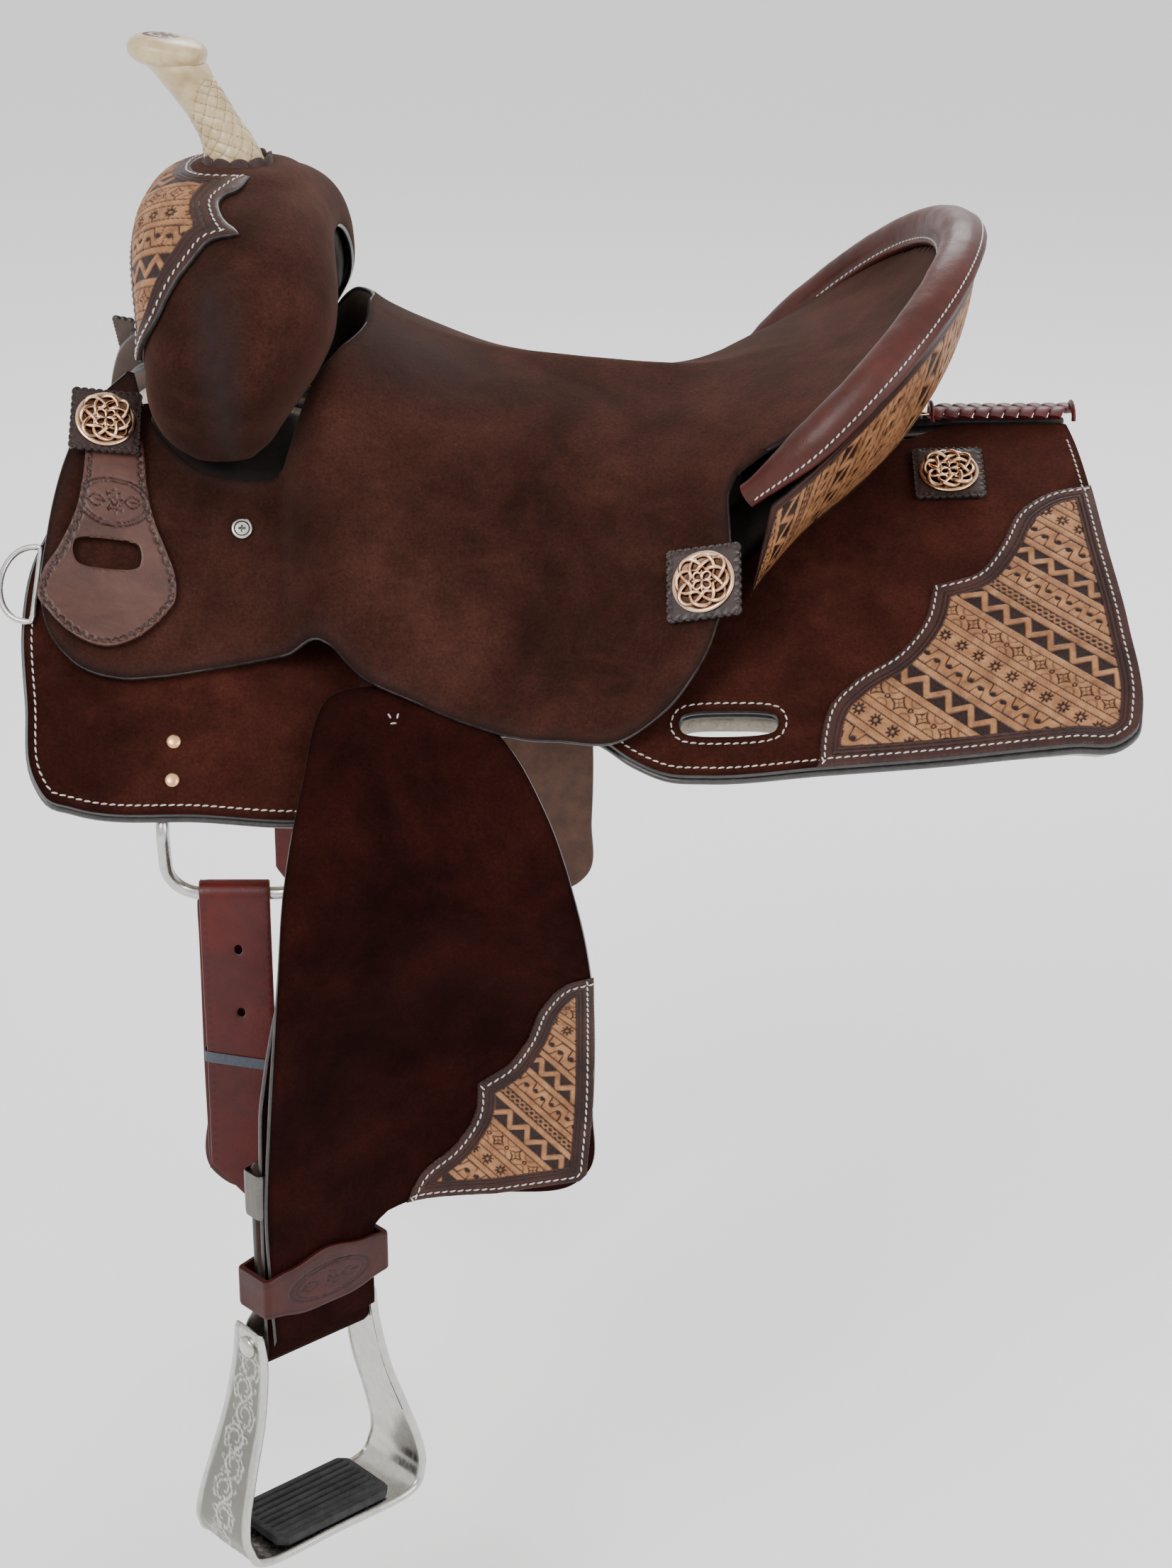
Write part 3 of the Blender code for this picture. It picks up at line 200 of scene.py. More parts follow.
def smooth_line(points, step, closed=True, sharp=()):
    """Resampled smooth line through points; the sharp ones stay corners."""
    p = np.array(points, float)
    n = len(p)
    after = np.roll(p, -1, 0) - p
    gap = np.maximum(np.linalg.norm(after, axis=1), 1e-9)
    slope = after / gap[:, None]
    before = np.roll(slope, 1, 0)
    back = np.roll(gap, 1)
    leave = (slope * back[:, None] + before * gap[:, None]) / (gap + back)[:, None]
    arrive = leave.copy()
    ends = set(sharp) | (set() if closed else {0, n - 1})
    for i in ends:
        leave[i] = slope[i]
        arrive[i] = before[i]
    out = []
    for i in range(n if closed else n - 1):
        j = (i + 1) % n
        count = max(1, math.ceil(gap[i] / step))
        u = (np.arange(count) / count)[:, None]
        out.append((2 * u ** 3 - 3 * u * u + 1) * p[i] + (u ** 3 - 2 * u * u + u) * gap[i] * leave[i]
                   + (3 * u * u - 2 * u ** 3) * p[j] + (u ** 3 - u * u) * gap[i] * arrive[j])
    if not closed:
        out.append(p[-1:])
    return np.concatenate(out)


def even_line(points, step, closed=False):
    """The same line with points an even distance apart."""
    p = np.array(points, float)
    if closed:
        p = np.concatenate([p, p[:1]])
    run = np.concatenate([[0], np.cumsum(np.linalg.norm(np.diff(p, axis=0), axis=1))])
    count = max(2, int(round(run[-1] / step)) + 1)
    at = np.linspace(0, run[-1], count)
    line = np.stack([np.interp(at, run, p[:, k]) for k in range(p.shape[1])], 1)
    return line[:-1] if closed else line


def inset(line, gap, closed=True):
    """Outline moved inwards (to the left of its direction when it runs anticlockwise)."""
    p = np.array(line, float)
    if closed:
        d = np.roll(p, -1, 0) - np.roll(p, 1, 0)
        area = np.sum(p[:, 0] * np.roll(p[:, 1], -1) - np.roll(p[:, 0], -1) * p[:, 1])
        turn = 1 if area > 0 else -1
    else:
        d = np.gradient(p, axis=0)
        turn = 1
    n = unit(np.stack([-d[:, 1], d[:, 0]], 1)) * turn
    return p + n * gap


def noise_at(points, scale, octaves=3, seed=0.0):
    """Smooth noise, about -1..1, at each point."""
    shift = Vector((seed, seed * 1.7, -seed))
    out = np.empty(len(points))
    for i, p in enumerate(points):
        out[i] = noise.fractal(Vector(p) * scale + shift, 0.7, 2.1, octaves)
    return out


# ---------------------------------------------------------------- the surfaces leathers lie on
def skirt_height(x, a):
    t = (x - SKIRT_FRONT) / SKIRT_LENGTH
    fall = 0.27 - 0.135 * t
    return 0.03 + 0.085 * (1 - t) ** 3 + 0.005 * t - fall * (np.abs(a) / 0.26) ** 1.25


def jockey_height(x, a):
    a = np.abs(a)
    over_fender = 0.010 * (1 - ease(0.070, 0.115, np.abs(x + 0.090))) * ease(0.10, 0.15, a)
    over_bar = 0.017 * ease(0.0, 1.0, (0.165 - a) / 0.050)
    more = np.maximum(over_fender, over_bar) + 0.3 * np.minimum(over_fender, over_bar)
    return skirt_height(x, a) + 0.0120 + more


def seat_height(x, a):
    a = np.abs(a)
    q = (x - RIM_X) / math.cos(RIM_TILT)
    k = 1 - ((q - RIM_CENTRE) / RIM_RADIUS) ** 2
    half_back = RIM_RADIUS * np.sqrt(np.maximum(k, 0.02))
    side_back = table(CREST, x) - (RIM_Z + (x - RIM_X) * math.tan(RIM_TILT))
    half_front = 0.150 - 0.030 * np.minimum(1.0, (RIM_X - x) / 0.25)
    side_front = 0.052 + 0.006 * np.minimum(1.0, (RIM_X - x) / 0.10)
    half = np.where(x > RIM_X, half_back, half_front)
    side = np.where(x > RIM_X, side_back, side_front)
    return table(CREST, x) - side * (a / half) ** 2.5


def top_height(x, a):
    """Upper face of the one-piece seat and jockeys."""
    low = jockey_height(x, a)
    high = seat_height(x, a)
    high = high - np.where(x < -0.150, (-0.150 - x) ** 2 * 60, 0.0)
    return (low + high + np.sqrt((low - high) ** 2 + 0.014 ** 2)) / 2


def on_field(height, side):
    """place(x, a, h): points on a height field, h metres out along the normal."""
    def place(x, a, h=0.0):
        x, a, h = np.broadcast_arrays(np.asarray(x, float), np.asarray(a, float), h)
        e = 0.002
        dx = (height(x + e, a) - height(x - e, a)) / (2 * e)
        da = (height(x, a + e) - height(x, a - e)) / (2 * e)
        n = unit(np.stack([-dx, -da, np.ones_like(dx)], -1))
        p = np.stack([x, a, height(x, a)], -1) + n * h[..., None]
        p[..., 1] *= side
        return p
    return place


def bend(u):
    far = np.sign(u) * (0.035 + 0.020 * np.tanh((np.abs(u) - 0.035) / 0.020))
    return np.where(np.abs(u) <= 0.035, u, far)


def fender_out(x, z):
    twist = FENDER_TWIST * ease(0.16, 0.31, -z)
    return table(FENDER_FALL, z) - np.tan(twist) * bend(x - table(LEATHER_LINE, z))


def fender_place(side):
    """place(x, z, h): points on the fender's middle surface, h metres outwards."""
    def place(x, z, h=0.0):
        x, z, h = np.broadcast_arrays(np.asarray(x, float), np.asarray(z, float), h)
        e = 0.002
        dx = (fender_out(x + e, z) - fender_out(x - e, z)) / (2 * e)
        dz = (fender_out(x, z + e) - fender_out(x, z - e)) / (2 * e)
        n = unit(np.stack([-dx, np.ones_like(dx), -dz], -1))
        p = np.stack([x, fender_out(x, z), z], -1) + n * h[..., None]
        p[..., 1] *= side
        return p
    return place


def rim(tau, r, lift=0.0):
    """Points on the cantle's tilted rim plane."""
    tau, r, lift = np.broadcast_arrays(np.asarray(tau, float), r, lift)
    q = RIM_CENTRE + r * np.cos(tau)
    x = RIM_X + q * math.cos(RIM_TILT) - lift * math.sin(RIM_TILT)
    z = RIM_Z + q * math.sin(RIM_TILT) + lift * math.cos(RIM_TILT)
    return np.stack([x, r * np.sin(tau), z], -1)


def swell_point(t, beta, out_by=0.0):
    """Swell surface: t -1..1 from near lobe to far lobe, beta 0 front, 90 outside, 180 back."""
    t, beta, out_by = np.broadcast_arrays(np.asarray(t, float), beta, out_by)
    s = np.abs(t)
    oy, oz = along(SWELL_OUT, s)
    iy, iz = along(SWELL_IN, s)
    xf, xb = along(SWELL_X, s)
    d = np.stack([np.zeros_like(oy), oy - iy, oz - iz], -1)
    depth = np.linalg.norm(d, axis=-1)
    d = d / depth[..., None]
    hx = (xb - xf) / 2 + out_by
    c, b = np.cos(beta), np.sin(beta)
    power = 2 / 2.7
    x = (xf + xb) / 2 - hx * np.sign(c) * np.abs(c) ** power
    lower = 0.30 * depth
    r = np.where(b >= 0, lower + (depth + out_by - lower) * np.abs(b) ** power, lower * (1 + b))
    p = np.stack([x, iy + d[..., 1] * r, iz + d[..., 2] * r], -1)
    p[..., 1] *= np.where(t < 0, -1.0, 1.0)
    return p


def cantle_point(v, w, out_by=0.0):
    """Cantle back: v -1..1 round it, w 0 at the foot and 1 under the roll."""
    v, w, out_by = np.broadcast_arrays(np.asarray(v, float), w, out_by)
    s = np.abs(v)
    fx, fa = along(CANTLE_FOOT, s)
    foot = np.stack([fx, fa, skirt_height(fx, fa) + 0.004], -1)
    top = rim(math.radians(104) * s, RIM_RADIUS - 0.004, -0.0135)
    p = foot + (top - foot) * w[..., None]
    away = unit(np.stack([np.cos(s * 1.7), np.sin(s * 1.7), np.full_like(s, -0.5)], -1))
    swell = 0.010 * np.sin(np.pi * np.minimum(1.0, w * 1.05)) * (1 - 0.6 * s) + out_by
    p = p + away * swell[..., None]
    p[..., 1] *= np.where(v < 0, -1.0, 1.0)
    return p


def strap_field(stations, smooth=True):
    """place(w, s, h) on a flat strap that follows stations (centre, across, out), and its length."""
    c, w, o = (np.array([s[k] for s in stations], float) for k in range(3))
    run = np.concatenate([[0], np.cumsum(np.linalg.norm(np.diff(c, axis=0), axis=1))])
    full = np.concatenate([c, w, o], 1)

    def place(u, s, h=0.0):
        u, s, h = np.broadcast_arrays(np.asarray(u, float), s, h)
        if smooth:
            got = np.stack([table(list(zip(run, full[:, k])), s) for k in range(9)], -1)
        else:
            got = np.stack([np.interp(s, run, full[:, k]) for k in range(9)], -1)
        return (got[..., 0:3] + unit(got[..., 3:6]) * u[..., None]
                + unit(got[..., 6:9]) * h[..., None])
    return place, run[-1]


# ---------------------------------------------------------------- mesh building
class Form:
    """Vertices, faces, material slots and named values of one piece."""

    def __init__(self):
        self.points, self.faces, self.slots, self.values, self.count = [], [], [], {}, 0

    def add(self, points, faces, slot=0, **values):
        points = np.asarray(points, float).reshape(-1, 3)
        base = self.count
        self.points.append(points)
        self.faces += [tuple(int(i) + base for i in f) for f in faces]
        self.slots += list(slot) if hasattr(slot, "__len__") else [slot] * len(faces)
        for key, value in values.items():
            self.values.setdefault(key, []).append((base, np.broadcast_to(value, len(points))))
        self.count += len(points)
        return self


def piece(name, form, materials, body, replaces=(), crease=42, flip=False):
    """Makes the object of a form, riding on a CAD body when body is a name."""
    mesh = bpy.data.meshes.new(name)
    points = np.concatenate(form.points)
    mesh.from_pydata(points.tolist(), [], form.faces)
    for m in materials:
        mesh.materials.append(m)
    mesh.polygons.foreach_set("material_index", form.slots)
    for key, parts in form.values.items():
        data = np.zeros(len(points), np.float32)
        for base, value in parts:
            data[base:base + len(value)] = value
        mesh.attributes.new(key, "FLOAT", "POINT").data.foreach_set("value", data)
    work = bmesh.new()
    work.from_mesh(mesh)
    bmesh.ops.recalc_face_normals(work, faces=work.faces)
    if flip:
        bmesh.ops.reverse_faces(work, faces=work.faces)
    work.to_mesh(mesh)
    work.free()
    mesh.shade_smooth()
    mesh.set_sharp_from_angle(angle=math.radians(crease))
    thing = bpy.data.objects.new(name, mesh)
    bpy.context.scene.collection.objects.link(thing)
    if isinstance(body, str):
        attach(thing, body)
    else:
        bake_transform(thing)
    if replaces:
        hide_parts(*replaces)
    return thing


def inside(p, outline):
    hit = np.zeros(len(p), bool)
    b = outline[-1]
    for a in outline:
        crosses = (a[1] > p[:, 1]) != (b[1] > p[:, 1])
        if a[1] != b[1]:
            hit ^= crosses & (p[:, 0] < (b[0] - a[0]) * (p[:, 1] - a[1]) / (b[1] - a[1]) + a[0])
        b = a
    return hit


def to_outline(p, outline):
    """Distance from each point to a closed outline, and how far along it that place is."""
    best = np.full(len(p), 9.0)
    where = np.zeros(len(p))
    run = 0.0
    for i in range(len(outline)):
        a, b = outline[i], outline[(i + 1) % len(outline)]
        d = b - a
        length = max(math.hypot(*d), 1e-9)
        w = p - a
        t = np.clip((w @ d) / length ** 2, 0, 1)
        gap = np.hypot(w[:, 0] - t * d[0], w[:, 1] - t * d[1])
        near = gap < best
        best[near] = gap[near]
        where[near] = run + t[near] * length
        run += length
    return best, where


def sheet_form(outline, place, low, high, step, holes=(), stretch=(1.0, 1.0), soft=0.0012,
               relief=None, values=None, form=None, slots=(0, 1, 2), open_back=False):
    """Leather cut to an outline, lying on place(u, v, h), between heights low and high.

    stretch turns (u, v) into true lengths. relief(u, v, gap, run) lifts the grain side, and values()
    gives named numbers there. Slots: grain side, cut edge, flesh side.
    """
    k = np.array(stretch, float)
    rims = [np.asarray(r, float) * k for r in (outline, *holes)]
    rims = [even_line(r, step, closed=True) if len(r) < 12 else r for r in rims]
    points = [r for r in rims]
    links, first = [], 0
    for r in rims:
        n = len(r)
        links += [(first + i, first + (i + 1) % n) for i in range(n)]
        first += n

    def kept(p, gap):
        ok = inside(p, rims[0])
        for r in rims[1:]:
            ok &= ~inside(p, r)
        p = p[ok]
        for r in rims:
            p = p[to_outline(p, r)[0] > gap]
        return p

    for share in (0.35, 1.0):
        for i, r in enumerate(rims):
            points.append(kept(inset(r, soft * share * (1 if i == 0 else -1)), soft * share * 0.93))
    lo, hi = rims[0].min(0), rims[0].max(0)
    rows = np.arange(lo[1], hi[1], step * 0.866)
    grid = [np.stack([np.arange(lo[0] + (step / 2 if i % 2 else 0), hi[0], step),
                      np.full(len(np.arange(lo[0] + (step / 2 if i % 2 else 0), hi[0], step)), v)], 1)
            for i, v in enumerate(rows)]
    points.append(kept(np.concatenate(grid), soft + 0.4 * step))
    p = np.concatenate(points)
    got = delaunay_2d_cdt([Vector(q) for q in p], links, [], 0, 1e-8)
    p = np.array([tuple(q) for q in got[0]])
    faces = np.array([f[:3] for f in got[2]])
    centre = p[faces].mean(1)
    ok = inside(centre, rims[0])
    for r in rims[1:]:
        ok &= ~inside(centre, r)
    faces = faces[ok]
    gap, run = to_outline(p, rims[0])
    every = gap.copy()
    for r in rims[1:]:
        every = np.minimum(every, to_outline(p, r)[0])
    drop = soft * (1 - np.sqrt(1 - (1 - np.clip(every / soft, 0, 1)) ** 2))
    u, v = p[:, 0] / k[0], p[:, 1] / k[1]
    lift = relief(p[:, 0], p[:, 1], gap, run) * ease(0, soft * 1.5, every) if relief else 0.0
    top = place(u, v, high - drop + lift)
    back = place(u, v, low + drop)
    n = len(p)
    edges = np.concatenate([faces[:, [0, 1]], faces[:, [1, 2]], faces[:, [2, 0]]])
    known = set(map(tuple, edges.tolist()))
    walls = []
    for a, b in known:
        if (b, a) not in known:
            walls.append((b, a, a + n, b + n))
    rim_face = (every[faces].max(1) < soft * 0.9)
    face_slots = np.where(rim_face, slots[1], slots[0]).tolist() + [slots[1]] * len(walls)
    solid = faces.tolist() + walls
    if not open_back:
        solid += (faces[:, ::-1] + n).tolist()
        face_slots += np.where(rim_face, slots[1], slots[2]).tolist()
    named = {"rim": np.concatenate([every, every])}
    if values:
        for key, value in values(p[:, 0], p[:, 1], gap, run).items():
            named[key] = np.concatenate([value, value])
    form = form or Form()
    return form.add(np.concatenate([top, back]), solid, face_slots, **named)


def skin_form(rings, form=None, slot=0, closed=True, around=False, ends=True, **values):
    """Skin over rings of points (ring, place, xyz)."""
    rings = np.asarray(rings, float)
    count, n = rings.shape[:2]
    r = np.arange(count if around else count - 1)[:, None]
    i = np.arange(n if closed else n - 1)[None, :]
    a, b = r * n, ((r + 1) % count) * n
    j = (i + 1) % n
    faces = np.stack([a + i, a + j, b + j, b + i], -1).reshape(-1, 4).tolist()
    points = rings.reshape(-1, 3)
    if ends and not around and closed:
        points = np.concatenate([points, rings[[0, -1]].mean(1)])
        for k, base in ((count * n, 0), (count * n + 1, (count - 1) * n)):
            faces += [(base + m, base + (m + 1) % n, k) for m in range(n)]
        values = {key: np.concatenate([np.ravel(v), [0, 0]]) for key, v in values.items()}
    form = form or Form()
    return form.add(points, faces, slot, **{key: np.ravel(v) for key, v in values.items()})


def line_frames(path, closed=False, up=None):
    """Unit tangent, side and other direction at each point of a path."""
    path = np.asarray(path, float)
    if closed:
        t = unit(np.roll(path, -1, 0) - np.roll(path, 1, 0))
    else:
        t = unit(np.gradient(path, axis=0))
    ref = np.array(up if up is not None else (0, 0, 1), float)
    if up is None and abs(t[0] @ ref) > 0.9:
        ref = np.array((1.0, 0, 0))
    side = []
    s = unit(np.cross(ref, t[0]))
    for k in range(len(path)):
        s = unit(s - t[k] * (s @ t[k]))
        side.append(s)
    side = np.array(side)
    return t, side, np.cross(t, side)


def rod_form(path, radius, form=None, slot=0, closed=False, count=14, flat=1.0, up=None, **values):
    """Round bar along a path; radius may change along it."""
    path = np.asarray(path, float)
    t, side, other = line_frames(path, closed, up)
    radius = np.broadcast_to(radius, len(path))
    w = 2 * np.pi * np.arange(count) / count
    rings = (path[:, None] + side[:, None] * (np.cos(w)[None, :, None] * radius[:, None, None])
             + other[:, None] * (np.sin(w)[None, :, None] * radius[:, None, None] * flat))
    return skin_form(rings, form, slot, around=closed, **values)


def lathe_form(centre, axis, profile, form=None, slot=0, count=48, spin=None, shape=None):
    """Turned body: profile of (radius, height) along axis; shape(angle) scales the radius."""
    axis = unit(np.array(axis, float))
    ref = np.array(spin if spin is not None else (1.0, 0.0, 0.0), float)
    x = unit(ref - axis * (ref @ axis))
    y = np.cross(axis, x)
    w = 2 * np.pi * np.arange(count) / count
    grow = shape(w) if shape else 1.0
    circle = (x[None] * (np.cos(w) * grow)[:, None] + y[None] * (np.sin(w) * grow)[:, None])
    rings = [np.array(centre, float) + circle * r + axis * h for r, h in profile]
    return skin_form(rings, form, slot)


def stitch_form(line, place, form=None, pitch=STITCH, lift=0.0003, slant=0.16, slot=0):
    """Row of thread stitches along a (u, v) line on place(u, v, h)."""
    line = np.asarray(line, float)
    spots = place(line[:, 0], line[:, 1], 0.0)
    run = np.concatenate([[0], np.cumsum(np.linalg.norm(np.diff(spots, axis=0), axis=1))])
    count = max(2, int(run[-1] / pitch))
    at = (np.arange(count) + 0.5) * run[-1] / count
    u, v = np.interp(at, run, line[:, 0]), np.interp(at, run, line[:, 1])
    ahead = at + 0.0004
    u2, v2 = np.interp(ahead, run, line[:, 0]), np.interp(ahead, run, line[:, 1])
    c = place(u, v, lift)
    n = unit(place(u, v, lift + 0.001) - c)
    t = unit(place(u2, v2, lift) - c)
    t = unit(t - n * np.sum(t * n, -1, keepdims=True))
    side = np.cross(n, t)
    t = unit(t + side * slant)
    side = np.cross(n, t)
    ends = np.linspace(-1, 1, 7)
    half = pitch * 0.40
    thick = THREAD / 2 * np.sqrt(np.maximum(1 - np.abs(ends) ** 3.0, 0.03))
    rise = 0.0004 * (1 - ends ** 2) - 0.00025
    w = 2 * np.pi * np.arange(6) / 6
    form = form or Form()
    shape = []
    for e, r, z in zip(ends, thick, rise):
        ring = (c[:, None] + t[:, None] * (e * half)
                + side[:, None] * (np.cos(w) * r * 1.1)[None, :, None]
                + n[:, None] * (np.sin(w) * r + z)[None, :, None])
        shape.append(ring)
    shape = np.stack(shape, 1)
    for rings in shape:
        skin_form(rings, form, slot)
    return form


# ---------------------------------------------------------------- materials
class Shade:
    """Node material with short helpers; points are in metres on the piece."""

    def __init__(self, name):
        self.material = bpy.data.materials.new(name)
        self.material.use_nodes = True
        self.tree = self.material.node_tree
        self.out = self.tree.nodes["Principled BSDF"]
        self.where = self.tree.nodes.new("ShaderNodeTexCoord").outputs["Object"]

    def link(self, socket, value):
        if isinstance(value, bpy.types.NodeSocket):
            self.tree.links.new(value, socket)
        elif isinstance(value, tuple) and len(value) == 3 and socket.type == "RGBA":
            socket.default_value = (*value, 1.0)
        else:
            socket.default_value = value

    def set(self, **inputs):
        for key, value in inputs.items():
            self.link(self.out.inputs[key.replace("_", " ")], value)
        return self

    def noise(self, scale, detail=4.0, rough=0.55, warp=0.0, stretch=None):
        n = self.tree.nodes.new("ShaderNodeTexNoise")
        n.inputs["Scale"].default_value = scale
        n.inputs["Detail"].default_value = detail
        n.inputs["Roughness"].default_value = rough
        n.inputs["Distortion"].default_value = warp
        self.link(n.inputs["Vector"], self.scaled(stretch) if stretch else self.where)
        return n.outputs["Fac"]

    def scaled(self, amounts):
        n = self.tree.nodes.new("ShaderNodeMapping")
        n.inputs["Scale"].default_value = amounts
        self.link(n.inputs["Vector"], self.where)
        return n.outputs["Vector"]

    def cells(self, scale, feature="F1", rand=1.0):
        n = self.tree.nodes.new("ShaderNodeTexVoronoi")
        n.feature = feature
        n.inputs["Scale"].default_value = scale
        n.inputs["Randomness"].default_value = rand
        self.link(n.inputs["Vector"], self.where)
        return n.outputs["Distance"]

    def value(self, name):
        n = self.tree.nodes.new("ShaderNodeAttribute")
        n.attribute_name = name
        return n.outputs["Fac"]

    def ramp(self, fac, *stops):
        n = self.tree.nodes.new("ShaderNodeValToRGB")
        bar = n.color_ramp.elements
        while len(bar) < len(stops):
            bar.new(0.5)
        for spot, (at, colour) in zip(bar, stops):
            spot.position = at
            spot.color = (*colour, 1.0) if isinstance(colour, tuple) else (colour,) * 3 + (1.0,)
        self.link(n.inputs["Fac"], fac)
        return n.outputs["Color"]

    def mix(self, fac, a, b, how="MIX"):
        n = self.tree.nodes.new("ShaderNodeMix")
        n.data_type = "RGBA"
        n.blend_type = how
        self.link(n.inputs[0], fac)
        self.link(n.inputs[6], a)
        self.link(n.inputs[7], b)
        return n.outputs[2]

    def calc(self, how, a, b=0.0):
        n = self.tree.nodes.new("ShaderNodeMath")
        n.operation = how
        self.link(n.inputs[0], a)
        self.link(n.inputs[1], b)
        return n.outputs[0]

    def bump(self, height, strength, depth, under=None):
        n = self.tree.nodes.new("ShaderNodeBump")
        n.inputs["Strength"].default_value = strength
        n.inputs["Distance"].default_value = depth
        self.link(n.inputs["Height"], height)
        if under is not None:
            self.link(n.inputs["Normal"], under)
        return n.outputs["Normal"]


def roughout(name, dark, light, sheen=0.30):
    """Leather worn flesh side out: short nap, blotchy colour, and a mask of painted shade and sheen."""
    s = Shade(name)
    base = s.ramp(s.noise(11.0, 6.0, 0.6, 0.4), (0.34, dark), (0.66, light))
    patch = s.ramp(s.noise(38.0, 5.0, 0.6), (0.35, 0.62), (0.70, 1.0))
    base = s.mix(0.75, base, patch, "MULTIPLY")
    nap = s.noise(520.0, 8.0, 0.75, 0.6)
    speck = s.ramp(nap, (0.36, 0.50), (0.52, 0.95), (0.68, 1.45))
    base = s.mix(0.75, base, speck, "MULTIPLY")
    rub = s.ramp(s.noise(24.0, 3.0, 0.5, 1.2, (1.0, 1.0, 2.2)), (0.56, 0.0), (0.76, 0.12))
    base = s.mix(rub, base, tuple(min(1.0, c * 1.7) for c in light))
    # painted shade and painted sheen: the mask greys and darkens the seat behind the swell and the swell's
    # welt; also darker along the seat's cut edge
    base = s.mix(s.value("dye"), base, (0.022, 0.0165, 0.0160))
    edge = s.ramp(s.value("rim"), (0.0, 0.0), (0.0022, 1.0))
    base = s.mix(0.55, base, edge, "MULTIPLY")
    low = s.bump(s.noise(60.0, 3.0), 0.25, 0.0012)
    fine = s.bump(nap, 0.55, 0.0006, low)
    s.set(Base_Color=base, Roughness=0.88, Sheen_Weight=sheen, Sheen_Roughness=0.45,
          Sheen_Tint=(0.80, 0.50, 0.40), Specular_IOR_Level=0.05, Normal=fine)
    return s.material


def grain_leather(name, dark, light, rough=0.38, coat=0.35, pore=900.0):
    """Smooth grain-side leather: fine pores, faint creases, darker hollows (stamped marks, and painted
    shade in creases and notches).
    """
    s = Shade(name)
    base = s.ramp(s.noise(16.0, 6.0, 0.6, 0.5), (0.32, dark), (0.70, light))
    streak = s.ramp(s.noise(70.0, 5.0, 0.6, 0.8, (1.0, 2.5, 1.0)), (0.35, 0.72), (0.65, 1.0))
    base = s.mix(0.8, base, streak, "MULTIPLY")
    # the 'dark' mask: stamped marks and creaser lines, and painted shade in the roll's creases and between
    # the collar's scallops
    base = s.mix(s.value("dark"), base, tuple(c * 0.22 for c in dark))
    pores = s.cells(pore)
    crease = s.noise(160.0, 4.0, 0.6, 1.0)
    normal = s.bump(pores, 0.30, 0.00022, s.bump(crease, 0.25, 0.0005))
    shine = s.ramp(s.noise(30.0, 4.0), (0.3, rough * 0.85), (0.7, rough * 1.3))
    s.set(Base_Color=base, Roughness=shine, Coat_Weight=coat, Coat_Roughness=0.28,
          Specular_IOR_Level=0.25, Normal=normal)
    return s.material


def tooled_leather():
    """Carved leather: raised figures left tan, the ground stained dark."""
    s = Shade("tooled_leather")
    tan = s.ramp(s.noise(90.0, 6.0, 0.65, 0.4), (0.30, (0.150, 0.060, 0.024)), (0.55, (0.30, 0.138, 0.060)),
                 (0.78, (0.42, 0.220, 0.104)))
    rim = s.ramp(s.noise(45.0, 5.0), (0.3, (0.016, 0.0052, 0.0038)), (0.7, (0.046, 0.0150, 0.0110)))
    ground = s.ramp(s.noise(700.0, 4.0), (0.35, (0.006, 0.0022, 0.0016)), (0.70, (0.030, 0.0100, 0.0070)))
    base = s.mix(s.value("dark"), rim, ground)
    base = s.mix(s.value("tan"), base, tan)
    pores = s.cells(1100.0)
    normal = s.bump(pores, 0.35, 0.0002, s.bump(s.noise(300.0, 5.0), 0.25, 0.0003))
    s.set(Base_Color=base, Roughness=0.50, Coat_Weight=0.08, Coat_Roughness=0.35,
          Specular_IOR_Level=0.2, Normal=normal)
    return s.material


def black_edge():
    s = Shade("black_edge")
    base = s.ramp(s.noise(220.0, 5.0), (0.35, (0.006, 0.005, 0.005)), (0.72, (0.030, 0.024, 0.022)))
    s.set(Base_Color=base, Roughness=0.42, Coat_Weight=0.2,
          Normal=s.bump(s.noise(500.0, 4.0, 0.6, 0.0, (1.0, 1.0, 3.0)), 0.5, 0.0004))
    return s.material


def flesh_side():
    s = Shade("flesh_side")
    base = s.ramp(s.noise(60.0, 6.0, 0.65), (0.3, (0.040, 0.0165, 0.0100)), (0.7, (0.090, 0.040, 0.0245)))
    fibre = s.noise(600.0, 8.0, 0.8, 0.8)
    s.set(Base_Color=s.mix(0.5, base, s.ramp(fibre, (0.3, 0.6), (0.7, 1.25)), "MULTIPLY"),
          Roughness=0.92, Sheen_Weight=0.2, Normal=s.bump(fibre, 0.6, 0.0006))
    return s.material


def white_thread():
    s = Shade("white_thread")
    twist = s.noise(1600.0, 2.0, 0.5, 0.0, (1.0, 1.0, 0.4))
    s.set(Base_Color=s.ramp(twist, (0.3, (0.36, 0.33, 0.29)), (0.65, (0.60, 0.57, 0.52))),
          Roughness=0.65, Normal=s.bump(twist, 0.5, 0.0002))
    return s.material


def wool():
    """Sheepskin pile under the skirts."""
    s = Shade("sheepskin")
    curl = s.noise(150.0, 8.0, 0.75, 1.4)
    tone = s.ramp(s.noise(20.0, 5.0), (0.3, (0.52, 0.43, 0.30)), (0.7, (0.74, 0.66, 0.52)))
    base = s.mix(0.7, tone, s.ramp(curl, (0.30, 0.45), (0.62, 1.12)), "MULTIPLY")
    s.set(Base_Color=base, Roughness=0.95, Sheen_Weight=0.5, Sheen_Roughness=0.5,
          Normal=s.bump(curl, 0.9, 0.003, s.bump(s.noise(700.0, 4.0, 0.7, 0.8), 0.6, 0.001)))
    return s.material


